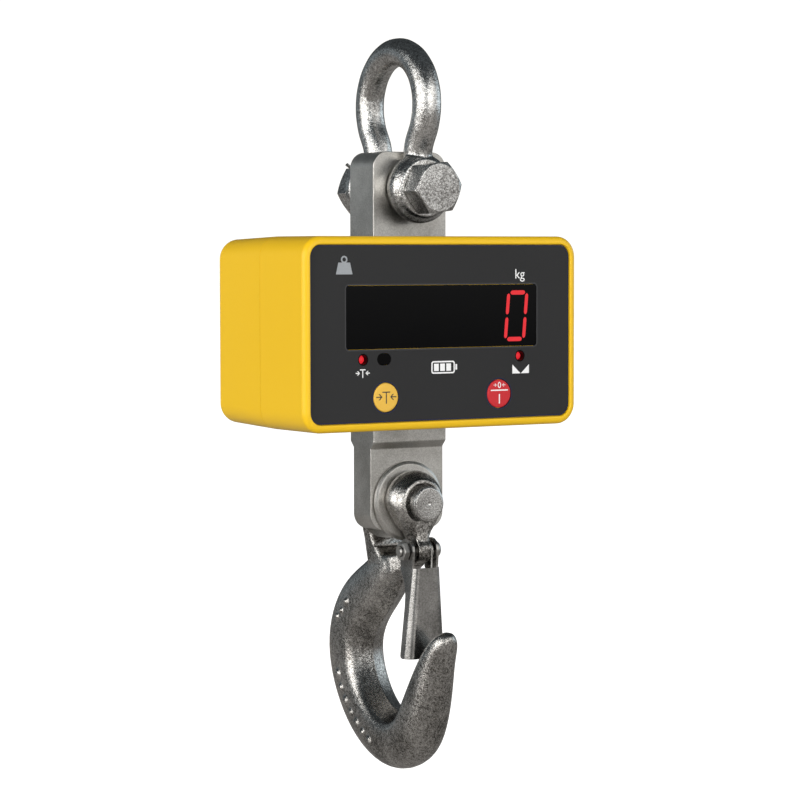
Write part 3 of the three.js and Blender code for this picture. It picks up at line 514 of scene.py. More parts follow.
front_shell = case_block(CASE_FRONT, -SEAM, 0)
soften(front_shell, 3.5, 7, 60, lambda co: co.y < CASE_FRONT + 0.01)
soften(front_shell, SEAM_EDGE, 2, 60, lambda co: co.y > -SEAM - 0.01)
front_shell = cut(drafted(front_shell), drafted(case_block(-43, 6, WALL)))
recess = rounded(-PANEL_W - 0.35, PANEL_W + 0.35, CASE_Z - PANEL_H - 0.35, CASE_Z + PANEL_H + 0.35,
                 PANEL_CORNER, 12)
front_shell = cut(front_shell, slab(recess, "Y", -60, -46))
soften(front_shell, 0.8, 4, 60, lambda co: co.y < CASE_FRONT + 0.02 and
       abs(co.x) < PANEL_W + 1 and abs(co.z - CASE_Z) < PANEL_H + 1)
front_shell = joined(
    front_shell, *[rod(5, -44, -SEAM, (x, 0, CASE_Z + z), "Y", 24) for x, z in CASE_SCREWS],
)
front_shell = cut(
    front_shell,
    slab(rounded(-60.9, 61.3, CASE_Z - 5.8, CASE_Z + 24.4, 1.5, 4), "Y", -50, -40),
    *[rod(5.4, -50, -40, (side * KEY_X, 0, KEY_Z)) for side in (-1, 1)],
    *[rod(3.4, -50, -40, (side * LAMP_X, 0, LAMP_Z)) for side in (-1, 1)],
    rod(4.2, -50, -40, (IR_X, 0, LAMP_Z)),
    cell_opening(),
    *[rod(2, -20, 5, (x, 0, CASE_Z + z), "Y", 16) for x, z in CASE_SCREWS],
)
front_part = piece(
    "front_shell", front_shell, "scale_body", yellow, "front_case", 32,
)

rear_shell = case_block(SEAM, CASE_REAR, 0)
soften(rear_shell, 4.0, 7, 60, lambda co: co.y > CASE_REAR - 0.01)
soften(rear_shell, SEAM_EDGE, 2, 60, lambda co: co.y < SEAM + 0.01)
rear_shell = cut(drafted(rear_shell), drafted(case_block(-6, CASE_REAR - WALL, WALL)))
door_seat = slab(rounded(-DOOR_W - 12, DOOR_W + 12, DOOR_LOW - 7, DOOR_HIGH + 7, 6, 6), "Y",
                 DOOR_Y - 3, CASE_REAR - 1)
rear_shell = joined(
    rear_shell, door_seat,
    *[rod(6, SEAM, CASE_REAR - 2, (x, 0, CASE_Z + z), "Y", 32) for x, z in CASE_SCREWS],
    *[rod(4, 16.2, DOOR_Y - 1, (x, 0, CASE_Z + z), "Y", 24) for x, z in TRAY_SCREWS],
)
rear_shell = cut(
    rear_shell,
    slab(rounded(-DOOR_W - 9, DOOR_W + 9, DOOR_LOW - 4, DOOR_HIGH + 4, 5, 8), "Y", DOOR_Y, 55),
    slab(rounded(-DOOR_W, DOOR_W, DOOR_LOW, DOOR_HIGH, 4, 6), "Y", 40, 55),
    cell_opening(),
    rod(7.2, 40, 55, (SOCKET_X, 0, SOCKET_Z)),
    *[rod(2.4, -5, 55, (x, 0, CASE_Z + z), "Y", 20) for x, z in CASE_SCREWS],
    *[rod(4.4, 34, 55, (x, 0, CASE_Z + z), "Y", 32) for x, z in CASE_SCREWS],
    *[rod(1.9, 10, 30, (x, 0, CASE_Z + z), "Y", 16) for x, z in TRAY_SCREWS],
    *[rod(1.9, 40, 55, (side * DOOR_SCREW_X, 0, DOOR_SCREW_Z), "Y", 16) for side in (-1, 1)],
)
soften(rear_shell, 0.4, 2, 60, lambda co: co.y > CASE_REAR - 0.02)
rear_part = piece("rear_shell", rear_shell, "scale_body", yellow, "rear_case", 32)
# Their large yellow tops would tint all the steel above, so the metal doesn't mirror them.
front_part.visible_glossy = rear_part.visible_glossy = False

# ---------------------------------------------------------------- seals
# Black rubber: a strip in the seam on each side, and a collar where the cell leaves the case.
rubber = Finish("black_rubber", specular_ior_level=0.3)
dust = rubber.noise(700.0, 3.0, 0.6)
rubber.give(
    base_color=rubber.blend(dust, (0.012, 0.012, 0.013), (0.03, 0.03, 0.032)),
    roughness=0.7 + dust * 0.2,
    normal=rubber.bump(dust, 0.00008, 0.4),
)
recoat(rubber, "case_gasket_left", "case_gasket_right", "top_seal", "bottom_seal", "cell_cable")

# ---------------------------------------------------------------- front panel
# A printed graphite sheet stuck in the recess, with a deep navy edge, openings for the window,
# lamps and keys, and white marks.
WINDOW = (-64.9, 65.3, CASE_Z - 8.8, CASE_Z + 27.4)
EDGE = 0.8

graphite = Finish("graphite_sheet", specular_ior_level=0.25)
weave = graphite.noise(900.0, 2.0, 0.6)
tone = graphite.noise(6.0, 2.0, 0.5)
graphite.give(
    base_color=graphite.blend(tone, (0.020, 0.020, 0.021), (0.030, 0.030, 0.031)),
    roughness=0.48 + weave * 0.12,
    normal=graphite.bump(weave, 0.00004, 0.5),
)
ir_outline = rounded(IR_X - 4.7, IR_X + 4.7, LAMP_Z - 3.45, LAMP_Z + 3.45, 3.44, 10)
panel = slab(
    rounded(-PANEL_W, PANEL_W, CASE_Z - PANEL_H, CASE_Z + PANEL_H, PANEL_CORNER, 12),
    "Y", PANEL_Y, PANEL_Y + 1.6,
)
panel = cut(
    panel,
    slab(rounded(*WINDOW, 2, 6), "Y", -50, -45),
    slab(ir_outline, "Y", -50, -45),
    *[rod(KEY_R + 0.35, -50, -45, (side * KEY_X, 0, KEY_Z)) for side in (-1, 1)],
    *[rod(3.4, -50, -45, (side * LAMP_X, 0, LAMP_Z)) for side in (-1, 1)],
)
soften(panel, 0.12, 2, 60)
piece("front_sheet", panel, "scale_body", graphite, "front_panel", 30)

navy = Finish("navy_edge_print", base_color=(0.006, 0.010, 0.035))
navy_grain = navy.noise(800.0)
navy.give(roughness=0.42 + navy_grain * 0.12, normal=navy.bump(navy_grain, 0.00002, 0.4))


def band(outer, inner, depth=0.05, y=PANEL_Y):
    """A printed band between two outlines, standing a hair proud of the sheet."""
    return cut(slab(outer, "Y", y - depth, y + 0.02), slab(inner, "Y", y - 1, y + 1))


def ring(centre_x, centre_z, radius, steps=48):
    """The outline of a circle."""
    return arc((centre_x, centre_z), radius, 0, 360 - 360 / steps, steps - 1)


edge_print = band(
    rounded(-PANEL_W + 0.15, PANEL_W - 0.15, CASE_Z - PANEL_H + 0.15, CASE_Z + PANEL_H - 0.15,
            PANEL_CORNER, 12),
    rounded(-PANEL_W + EDGE, PANEL_W - EDGE, CASE_Z - PANEL_H + EDGE, CASE_Z + PANEL_H - EDGE,
            PANEL_CORNER - EDGE, 12),
)
piece("panel_edge_print", edge_print, "scale_body", navy)
for side, name in ((-1, "tare"), (1, "zero")):
    key_edge = band(
        ring(side * KEY_X, KEY_Z, KEY_R + 1.15), ring(side * KEY_X, KEY_Z, KEY_R + 0.36),
    )
    piece(f"{name}_key_surround", key_edge, "scale_body", navy)

# ---------------------------------------------------------------- printed marks
# White and grey screen-printed marks: the unit, the tare and steady signs by their lamps, a
# plain mass sign and a battery sign. Each is a thin layer of ink.
INK_ABOVE, INK_BELOW = 0.06, 0.02

ink = Finish("white_ink", base_color=(0.92, 0.92, 0.92))
ink_grain = ink.noise(1400.0)
ink.give(roughness=0.4 + ink_grain * 0.2, normal=ink.bump(ink_grain, 0.00002, 0.3))


def speckled(name, dark, light, scale=1400.0, roughness=0.5):
    """A plain surface with a fine speckle between two close colours."""
    finish = Finish(name, roughness=roughness)
    finish.give(base_color=finish.blend(finish.noise(scale), dark, light))
    return finish


def shape_mark(points, y=PANEL_Y):
    """A thin layer of ink inside an outline."""
    return slab(points, "Y", y - INK_ABOVE, y + INK_BELOW)


def bar_mark(x, z, width, height, y=PANEL_Y):
    """A small rectangle of ink about a point."""
    return shape_mark(
        [(x - width / 2, z - height / 2), (x + width / 2, z - height / 2),
         (x + width / 2, z + height / 2), (x - width / 2, z + height / 2)], y,
    )


def merged(*parts):
    """Several closed solids kept side by side in one bmesh."""
    whole = bmesh.new()
    for part in parts:
        mesh = bpy.data.meshes.new("part")
        part.to_mesh(mesh)
        part.free()
        whole.from_mesh(mesh)
        bpy.data.meshes.remove(mesh)
    return whole


def arrow(x, z, towards, size, y=PANEL_Y, line=0.55):
    """A shaft and an open head that points along towards, which is 1 or -1."""
    tip = x + towards * size / 2
    head = size * 0.42
    barb = tip - towards * head
    barb_back = tip - towards * (head + line * 1.3)
    notch = tip - towards * line * 1.3
    return [
        bar_mark(x - towards * line / 2, z, size - line, line, y),
        shape_mark([(tip, z), (barb, z + head), (barb_back, z + head), (notch, z),
                    (barb_back, z - head), (barb, z - head)], y),
    ]


def tare_mark(x, z, scale, y=PANEL_Y, line=0.6):
    """A T between two arrows that point at it."""
    return merged(
        bar_mark(x, z + 2.1 * scale, 3.6 * scale, line, y),
        bar_mark(x, z - 0.2 * scale, line, 4.4 * scale, y),
        *arrow(x - 3.2 * scale, z + 0.2 * scale, 1, 2.8 * scale, y, line),
        *arrow(x + 3.2 * scale, z + 0.2 * scale, -1, 2.8 * scale, y, line),
    )


def from_curve(curve):
    """The faces of a curve or a text."""
    holder = bpy.data.objects.new("curve", curve)
    scene.collection.objects.link(holder)
    bpy.context.view_layer.update()
    shape = bpy.data.meshes.new_from_object(
        holder.evaluated_get(bpy.context.evaluated_depsgraph_get()),
    )
    bm = bmesh.new()
    bm.from_mesh(shape)
    bpy.data.meshes.remove(shape)
    bpy.data.objects.remove(holder)
    bpy.data.curves.remove(curve)
    return bm


def lettering(text, size, x, z, y=PANEL_Y):
    """Text as a thin solid, centred on a point of the panel."""
    curve = bpy.data.curves.new("letters", "FONT")
    curve.body = text
    curve.size = size
    curve.extrude = 0.04
    curve.align_x = "CENTER"
    bm = from_curve(curve)
    bmesh.ops.remove_doubles(bm, verts=bm.verts, dist=1e-4)
    bmesh.ops.scale(bm, vec=(0.98, 1, 1), verts=bm.verts)
    upright = Matrix.Translation((x, y - 0.03, z)) @ Matrix.Rotation(math.pi / 2, 4, "X")
    bmesh.ops.transform(bm, matrix=upright, verts=bm.verts)
    return bm


piece("unit_mark", lettering("kg", 8.0, 53.3, CASE_Z + 30.6), "scale_body", ink)
piece("tare_lamp_mark", tare_mark(-54.0, CASE_Z - 22.1, 1.0), "scale_body", ink)
STEADY_LOW, STEADY_HIGH = CASE_Z - 24.6, CASE_Z - 19.4
steady = merged(
    shape_mark([(48.2, STEADY_LOW), (53.9, STEADY_LOW), (48.2, STEADY_HIGH)]),
    shape_mark([(59.9, STEADY_LOW), (54.2, STEADY_LOW), (59.9, STEADY_HIGH)]),
)
piece("steady_mark", steady, "scale_body", ink)

battery_outline = rounded(-8, 8, CASE_Z - 23.4, CASE_Z - 16.2, 1.4, 5)
battery_inside = rounded(-7.2, 7.2, CASE_Z - 22.6, CASE_Z - 17.0, 0.8, 4)
battery_mark = merged(
    band(battery_outline, battery_inside),
    bar_mark(9.0, CASE_Z - 19.8, 1.2, 3.2),
    *[bar_mark(x, CASE_Z - 19.8, 3.2, 4.2) for x in (-4.6, -0.4, 3.8)],
)
piece("battery_mark", battery_mark, "scale_body", ink)

mass_x, mass_z = -66.0, CASE_Z + 33.6
mass_mark = merged(
    shape_mark([(mass_x - 5.4, mass_z), (mass_x + 5.4, mass_z), (mass_x + 3.8, mass_z + 6.6),
                (mass_x - 3.8, mass_z + 6.6)]),
    band(ring(mass_x, mass_z + 8.3, 2.1, 24), ring(mass_x, mass_z + 8.3, 1.2, 24)),
)
grey_ink = speckled("grey_ink", (0.30, 0.32, 0.34), (0.38, 0.40, 0.42))
piece("mass_mark", mass_mark, "scale_body", grey_ink)

# ---------------------------------------------------------------- display
# Red LED digits behind a gloss black filter. Only the last digit is lit, as a nought.
gloss_black = Finish("black_filter", base_color=(0.0008, 0.0008, 0.0010), specular_ior_level=0.12)
smear = gloss_black.noise(40.0, 3.0)
gloss_black.give(roughness=0.10 + smear * 0.06)


def window_edge(grow, corner):
    """The window's outline, grown by a little or shrunk where that is negative."""
    left, right_, low, high = WINDOW
    return rounded(left - grow, right_ + grow, low - grow, high + grow, corner, 6)


filter_pane = slab(window_edge(-0.3, 1.8), "Y", PANEL_Y + 0.1, PANEL_Y + 1.6)
soften(filter_pane, 0.12, 2, 60)
piece("filter_pane", filter_pane, "scale_body", gloss_black, "display_window", 30)
ir_pane = slab(rounded(IR_X - 4.4, IR_X + 4.4, LAMP_Z - 3.15, LAMP_Z + 3.15, 3.14, 10),
               "Y", PANEL_Y + 0.3, PANEL_Y + 1.6)
soften(ir_pane, 0.12, 2, 60)
piece("remote_window", ir_pane, "scale_body", gloss_black, "ir_window", 30)
recoat(gloss_black, "ir_receiver")

window_line = band(window_edge(0.7, 2.7), window_edge(-0.02, 2), 0.04)
fine_line = speckled("window_outline", (0.032, 0.032, 0.034), (0.042, 0.042, 0.045), 300.0)
piece("window_outline", window_line, "scale_body", fine_line)

red_light = Finish("red_led", base_color=(0.10, 0.003, 0.003), roughness=0.5, emission_strength=1.0)
glow = red_light.noise(220.0, 2.0)
red_light.give(emission_color=red_light.blend(glow, (0.66, 0.014, 0.022), (0.76, 0.022, 0.034)))
DIGIT = (50.9, CASE_Z + 8.95)
STROKE_UPRIGHT, STROKE_LEVEL = 1.08, 1.25
LEAN = math.tan(math.radians(5))


def segment(x, z, length, upright):
    """A bar of light with blunt pointed ends, leaning with its digit."""
    half, thick = length / 2, STROKE_UPRIGHT if upright else STROKE_LEVEL
    one_side = [(-half + 0.5, thick * 0.72), (-half + 1.5, thick), (half - 1.5, thick),
                (half - 0.5, thick * 0.72)]
    points = [(-half, 0), *one_side, (half, 0)] + [(x_, -z_) for x_, z_ in reversed(one_side)]
    placed = []
    for along, across in points:
        dx, dz = (across, along) if upright else (along, across)
        placed.append((DIGIT[0] + x + dx + (z + dz) * LEAN, DIGIT[1] + z + dz))
    return shape_mark(placed, PANEL_Y + 0.1)


nought = merged(
    segment(0, 13.5, 10.4, False), segment(0, -13.5, 10.4, False),
    segment(-6.4, 6.9, 12.2, True), segment(6.4, 6.9, 12.2, True),
    segment(-6.4, -6.9, 12.2, True), segment(6.4, -6.9, 12.2, True),
)
piece("lit_digit", nought, "scale_body", red_light)
led_block = speckled("led_block", (0.03, 0.03, 0.03), (0.06, 0.06, 0.06), 500.0, 0.6)
recoat(led_block, "led_display")
for side, name in ((-1, "tare"), (1, "stable")):
    at = (side * LAMP_X, 0, LAMP_Z)
    dome = turned(
        [(0, -46.3), (1.2, -46.1), (2.0, -45.4), (2.45, -44.3), (2.5, -42.5), (2.5, -37),
         (2.8, -36.9), (2.8, -34.1), (0, -34.1)], at, "Y", 40,
    )
    piece(f"{name}_led", dome, "scale_body", red_light, f"{name}_lamp", 50)
    lining = turned(
        [(2.75, -47.8), (3.3, -47.8), (3.3, -41), (2.75, -41), (2.75, -47.8)], at, "Y", 40,
    )
    piece(f"{name}_led_well", lining, "scale_body", gloss_black)

# ---------------------------------------------------------------- keys
# Two moulded key caps, yellow for tare and red for zero and on, each on its own stem and free to
# travel in a round hole of the sheet. The signs are printed on the caps.
CAP_Y, CAP_BACK = PANEL_Y - 0.5, PANEL_Y + 1.1


def key_cap(x):
    """A cap with a rounded rim, its stem and the foot that presses the switch."""
    return joined(
        turned(
            [(0, CAP_Y), (KEY_R - 1.2, CAP_Y), (KEY_R - 0.4, CAP_Y + 0.16), (KEY_R, CAP_Y + 0.6),
             (KEY_R, CAP_BACK), (0, CAP_BACK)], (x, 0, KEY_Z),
        ),
        rod(5, PANEL_Y + 1, -42.2, (x, 0, KEY_Z)),
        rod(6.4, -42.6, -41.2, (x, 0, KEY_Z)),
    )


def moulded(name, dark, light):
    """A satin moulded plastic with a faint grain."""
    finish = Finish(name, specular_ior_level=0.35)
    mould = finish.noise(700.0)
    finish.give(
        base_color=finish.blend(mould, dark, light),
        roughness=0.42 + mould * 0.1, normal=finish.bump(mould, 0.00003, 0.3),
    )
    return finish


def oval(x, z, half_width, half_height, steps=24):
    angles = [math.tau * step / steps for step in range(steps)]
    return [(x + half_width * math.cos(a), z + half_height * math.sin(a)) for a in angles]


tare_plastic = moulded("tare_yellow", (0.80, 0.47, 0.065), (0.86, 0.53, 0.085))
zero_plastic = moulded("zero_red", (0.55, 0.022, 0.030), (0.62, 0.032, 0.040))
dark_ink = speckled("dark_ink", (0.035, 0.035, 0.035), (0.06, 0.06, 0.055))
piece("tare_cap", key_cap(-KEY_X), "tare_key", tare_plastic, "tare_key", 40)
piece("zero_cap", key_cap(KEY_X), "zero_key", zero_plastic, "zero_key", 40)
tare_sign = tare_mark(-KEY_X, KEY_Z, 1.45, CAP_Y, 0.62)
piece("tare_cap_mark", tare_sign, "tare_key", dark_ink)
NOUGHT_Z = KEY_Z + 5.0
zero_mark = merged(
    bar_mark(KEY_X, KEY_Z + 2.0, 12.0, 0.7, CAP_Y),
    bar_mark(KEY_X, KEY_Z - 3.0, 0.75, 5.6, CAP_Y),
    band(oval(KEY_X, NOUGHT_Z, 1.15, 1.75), oval(KEY_X, NOUGHT_Z, 0.65, 1.2), 0.05, CAP_Y),
    *arrow(KEY_X - 3.0, NOUGHT_Z, 1, 2.2, CAP_Y, 0.34),
    *arrow(KEY_X + 3.0, NOUGHT_Z, -1, 2.2, CAP_Y, 0.34),
)
piece("zero_cap_mark", zero_mark, "zero_key", ink)

# ---------------------------------------------------------------- inside the case
# Circuit boards in green mask, black switches, a sleeved battery pack in a zinc-plated tray,
# and the angles that hang the case on the cell.
mask_green = Finish("green_solder_mask", specular_ior_level=0.5)
tracks = mask_green.cells(420.0)
mask_green.give(
    base_color=mask_green.blend(tracks * 2.2, (0.012, 0.085, 0.035), (0.025, 0.15, 0.06)),
    roughness=0.3 + tracks * 0.3,
)
recoat(mask_green, "display_board", "main_board")
switch_plastic = speckled(
    "switch_plastic", (0.02, 0.02, 0.02), (0.045, 0.045, 0.05), 600.0, 0.55,
)
recoat(switch_plastic, "tare_switch", "zero_switch", "charge_socket")
sleeve = Finish("battery_sleeve", specular_ior_level=0.5, roughness=0.3)
wrinkle = sleeve.noise(60.0, 4.0, 0.6, (1, 1, 0.3))
sleeve.give(
    base_color=sleeve.blend(wrinkle, (0.015, 0.05, 0.16), (0.03, 0.08, 0.24)),
    normal=sleeve.bump(wrinkle, 0.0004, 0.5),
)
recoat(sleeve, "battery_pack")

zinc = Finish("zinc_plate", metallic=1.0)
brush = zinc.noise(420.0, 3.0, 0.6, (1, 1, 0.14))
patch = zinc.noise(45.0, 3.0, 0.6)
zinc.give(
    base_color=zinc.blend(patch, (0.42, 0.41, 0.39), (0.60, 0.59, 0.57)),
    roughness=0.24 + patch * 0.14 + brush * 0.08,
    normal=zinc.bump(brush * 0.5 + zinc.noise(1600.0) * 0.5, 0.00006, 0.5),
)
recoat(zinc, "battery_tray", "cell_bracket_left", "cell_bracket_right", "clevis_lock_pin",
       *[f"bracket_bolt_{i}" for i in range(1, 5)], *[f"tray_screw_{i}" for i in range(1, 5)],
       "board_screw_1", "board_screw_2")

# ---------------------------------------------------------------- rear of the case
# The battery door in its recess, its two screws, the four case screws in their deep wells and a
# rubber cover on the charging socket.
door = joined(
    slab(rounded(-DOOR_W - 8.6, DOOR_W + 8.6, DOOR_LOW - 3.6, DOOR_HIGH + 3.6, 4.6, 8), "Y",
         DOOR_Y + 0.35, CASE_REAR - 0.4),
    slab(rounded(-DOOR_W + 0.5, DOOR_W - 0.5, DOOR_LOW + 0.5, DOOR_HIGH - 0.5, 3.5, 6), "Y",
         43.6, DOOR_Y + 1),
)
door = cut(
    door,
    slab(rounded(-12, 12, DOOR_HIGH - 3.4, DOOR_HIGH - 0.4, 1.4, 5), "Y", CASE_REAR - 2, 55),
    *[slab(rounded(-30, 30, DOOR_LOW + z, DOOR_LOW + z + 1.2, 0.55, 4), "Y", CASE_REAR - 1.2, 55)
      for z in range(12, 66, 6)],
    *[rod(2.2, 40, 55, (side * DOOR_SCREW_X, 0, DOOR_SCREW_Z), "Y", 20) for side in (-1, 1)],
    *[rod(3.9, CASE_REAR - 2, 55, (side * DOOR_SCREW_X, 0, DOOR_SCREW_Z), "Y", 32)
      for side in (-1, 1)],
)
soften(door, 0.3, 2, 60, lambda co: co.y > CASE_REAR - 0.5)
piece("battery_cover", door, "scale_body", yellow, "battery_door", 32)


def screw(x, z, shank, reach, head_low, head_radius, head_height):
    """A pan-head screw that faces +Y, with a cross recess."""
    top, arm = head_low + head_height, head_radius * 0.55
    body = turned(
        [(0, reach), (shank, reach), (shank, head_low), (head_radius, head_low),
         (head_radius, head_low + head_height * 0.45),
         (head_radius * 0.86, head_low + head_height * 0.8), (head_radius * 0.6, top), (0, top)],
        (x, 0, z), "Y", 32,
    )
    slots = [slab(rounded(x - a, x + a, z - b, z + b, 0.3, 2), "Y", top - 1.1, top + 1)
             for a, b in ((arm, 0.42), (0.42, arm))]
    return cut(body, *slots)


for index, (x, z) in enumerate(CASE_SCREWS, 1):
    piece(f"shell_screw_{index}", screw(x, CASE_Z + z, 1.65, -14, 34.4, 3.9, 2.8),
          "scale_body", zinc, f"case_screw_{index}", 35)
for index, side in enumerate((-1, 1), 1):
    piece(f"cover_screw_{index}",
          screw(side * DOOR_SCREW_X, DOOR_SCREW_Z, 1.5, 41.5, CASE_REAR - 1.7, 3.5, 1.7),
          "scale_body", zinc, f"door_screw_{index}", 35)
cover = joined(
    turned(
        [(0, CASE_REAR + 0.35), (8.7, CASE_REAR + 0.35), (9, CASE_REAR + 0.7),
         (8.8, CASE_REAR + 1.7), (8.1, CASE_REAR + 2.4), (0, CASE_REAR + 2.6)],
        (SOCKET_X, 0, SOCKET_Z),
    ),
    rod(3.6, 44, CASE_REAR + 1, (SOCKET_X, 0, SOCKET_Z)),
    slab(rounded(SOCKET_X - 3, SOCKET_X + 3, SOCKET_Z - 10.6, SOCKET_Z - 7, 1, 4), "Y",
         CASE_REAR + 0.5, CASE_REAR + 2.0),
)
piece("socket_cap", cover, "scale_body", rubber, "socket_cover", 40)

# ---------------------------------------------------------------- shackle
# A drop-forged bow of round bar with a barrel-shaped eye on each leg, hot-dip galvanised, so the
# surface is bright, grainy and a little lumpy.
BOW_STOCK, BOW_R = 8.4, 31.0
JAW, EYE_OUT, BOLT_R = 14.0, 31.0, 9.5


def forged_finish(name, dark, light, gloss, lump=0.0007, speckle=0.00017):
    """Galvanised forging: bright zinc over a lumpy skin with random stains, its colour darker in
    the hollows of the grit and sparkle bumps as painted shade and near white on their tops as
    painted glints.
    """
    finish = Finish(name, metallic=1.0)
    lumps = finish.noise(110.0, 3.0, 0.55)
    grit = finish.noise(620.0, 4.0, 0.75)
    sparkle = finish.noise(1500.0, 3.0, 0.7)
    stain = finish.noise(34.0, 4.0, 0.65, distortion=0.6)
    # Painted shade and glints: darkest where the grit and sparkle bumps are low, brightest where
    # they peak; the stain adds real random tone.
    stain_shade_and_glint = finish.ramp(stain * 0.25 + grit * 0.35 + sparkle * 0.4, (0.42, 0.0), (0.57, 1.0))
    lumpy = finish.bump(lumps, lump, 0.55)
    gritty = finish.bump(grit, 0.00032, 0.55, lumpy)
    finish.give(
        base_color=finish.blend(stain_shade_and_glint, dark, light),
        roughness=gloss + stain_shade_and_glint * 0.05 + stain * 0.12,
        normal=finish.bump(sparkle, speckle, 0.65, gritty),
    )
    return finish


galvanised = forged_finish("galvanised_forging", (0.24, 0.23, 0.215), (0.97, 0.96, 0.94), 0.07)


def round_bar(points, radius, closed=False, resolution=14, sides=6):
    """A round bar along a smooth line of points, made from a curve."""
    curve = bpy.data.curves.new("bar", "CURVE")
    curve.dimensions = "3D"
    curve.bevel_depth = radius
    curve.bevel_resolution = sides
    curve.resolution_u = resolution
    curve.use_fill_caps = True
    spline = curve.splines.new("BEZIER")
    spline.bezier_points.add(len(points) - 1)
    for knot, point in zip(spline.bezier_points, points):
        knot.co = point
        knot.handle_left_type = knot.handle_right_type = "AUTO"
    spline.use_cyclic_u = closed
    bm = from_curve(curve)
    bmesh.ops.remove_doubles(bm, verts=bm.verts, dist=1e-3)
    bmesh.ops.recalc_face_normals(bm, faces=bm.faces)
    return bm


def fused(bm, voxel, smoothing):
    """Overlapping solids run into one forging, with its inner corners filled."""
    return with_modifiers(
        bm,
        ("REMESH", {"mode": "VOXEL", "voxel_size": voxel}),
        ("SMOOTH", {"factor": 0.5, "iterations": smoothing}),
    )


bow_half = [(22.4, BOLT_Z), (21.6, BOLT_Z + 12), (21.9, BOLT_Z + 22.5)] + [
    (BOW_R * math.cos(math.radians(a)), BOW_STOCK - BOW_R + BOW_R * math.sin(math.radians(a)))
    for a in (-20, 2, 24, 46, 68)
]
bow_line = [(0, y, z) for y, z in bow_half] + [(0, 0, BOW_STOCK)] + [
    (0, -y, z) for y, z in reversed(bow_half)
]


def on_side(bm, side):
    """A shape drawn towards the rear, mirrored to the front when the side is -1."""
    if side < 0:
        bmesh.ops.scale(bm, vec=(1, -1, 1), verts=bm.verts)
        bmesh.ops.reverse_faces(bm, faces=bm.faces)
    return bm


def eye(side):
    """One barrel-shaped eye, with a raised face towards the bolt's head or nut."""
    profile = [(0, JAW), (16.2, JAW), (16.8, JAW + 0.5), (18.2, 17.2), (20.3, 22.5), (19.9, 26.5),
               (18.0, 29.6), (16.2, EYE_OUT), (0, EYE_OUT)]
    return on_side(turned(profile, (0, 0, BOLT_Z), "Y", 72), side)


bow = fused(merged(round_bar(bow_line, BOW_STOCK, sides=10), eye(1), eye(-1)), 0.7, 3)
bow = cut(bow, rod(BOLT_R + 0.35, -40, 40, (0, 0, BOLT_Z)))
piece("shackle_forging", bow, "shackle", galvanised, "shackle_bow", 50)

# ---------------------------------------------------------------- shackle bolt, nut and pin
# A forged hexagon bolt through both eyes, its nut at the rear, and a split pin through the end of
# the thread so that the nut can't come off.
HEX_FLATS, HEX_CHAMFER = 28.0, 2.4
HEAD, NUT = (-45.0, -31.35), (31.35, 44.0)
SPLIT_Y = 46.8
LEAN_PIN = math.radians(-5)
HEX_TURN = math.radians(7)


def hex_outline(across, up, corner, turn=0.0):
    """Six corners about a point, the first one turned up from the level by an angle."""
    angles = [turn + math.radians(60 * i) for i in range(6)]
    return [(across + corner * math.cos(a), up + corner * math.sin(a)) for a in angles]


def hexagon(low, high, chamfer_low, chamfer_high):
    """A bolt head or nut about the bolt's axis, with its corners turned off where asked."""
    corner = HEX_FLATS / math.sqrt(3)
    face = HEX_FLATS / 2 - 0.5
    barrel = [(0, low), (face if chamfer_low else corner + 1, low),
              (corner + 1, low + (HEX_CHAMFER if chamfer_low else 0.01)),
              (corner + 1, high - (HEX_CHAMFER if chamfer_high else 0.01)),
              (face if chamfer_high else corner + 1, high), (0, high)]
    return combined(
        slab(hex_outline(0, BOLT_Z, corner, HEX_TURN), "Y", low, high), "INTERSECT",
        turned(barrel, (0, 0, BOLT_Z), "Y", 72),
    )


def thread(radius, pitch, low, high, centre):
    """The threaded end of a bolt: ridges every pitch along Y, with a chamfered tip."""
    profile = [(0, low), (radius, low)]
    y = low
    while y + pitch < high - 1.5:
        profile += [(radius, y + pitch * 0.25), (radius - pitch * 0.55, y + pitch * 0.6),
                    (radius, y + pitch * 0.95)]
        y += pitch
    profile += [(radius, high - 1.6), (radius - 1.7, high), (0, high)]
    return turned(profile, centre, "Y", 56)


def leaning(bm):
    """Set a pin that is drawn along Z into the bolt's cross hole."""
    place = Matrix.Translation((0, SPLIT_Y, BOLT_Z)) @ Matrix.Rotation(LEAN_PIN, 4, "Y")
    bmesh.ops.transform(bm, matrix=place, verts=bm.verts)
    return bm


bolt_head = soften(hexagon(*HEAD, True, False), 0.6, 3, 25)
bolt = joined(
    bolt_head,
    rod(BOLT_R, HEAD[1] - 1, 28, (0, 0, BOLT_Z), "Y", 56),
    thread(BOLT_R, 2.5, 27, 50.3, (0, 0, BOLT_Z)),
)
bolt = cut(bolt, leaning(rod(2.2, -16, 16, (0, 0, 0), "Z", 24)))
hex_steel = forged_finish(
    "galvanised_bolt", (0.20, 0.19, 0.18), (1.0, 0.99, 0.97), 0.13, 0.00004, 0.00024,
)
piece("shackle_hex_bolt", bolt, "shackle", hex_steel, "shackle_bolt", 35)
nut = cut(
    soften(hexagon(*NUT, True, True), 0.6, 3, 25), rod(BOLT_R + 0.35, 28, 46, (0, 0, BOLT_Z)),
)
piece("shackle_hex_nut", nut, "shackle", hex_steel, "shackle_nut", 35)

pin_ring = [(x, 0, z) for x, z in oval(0, -15.4, 2.6, 2.6, 12)]
split_pin = merged(
    leaning(round_bar(pin_ring, 1.2, closed=True, resolution=4, sides=4)),
    leaning(rod(1.6, -13.4, 11.5, (0, 0, 0), "Z", 24)),
    leaning(round_bar([(-0.6, 0, 10), (-0.9, 0, 12), (-5.2, 0, 16.2)], 1.0, resolution=8, sides=4)),
    leaning(round_bar([(0.6, 0, 10), (0.9, 0, 12), (5.2, 0, 15.6)], 1.0, resolution=8, sides=4)),
)
piece("shackle_cotter", split_pin, "shackle", zinc, "shackle_split_pin", 50)

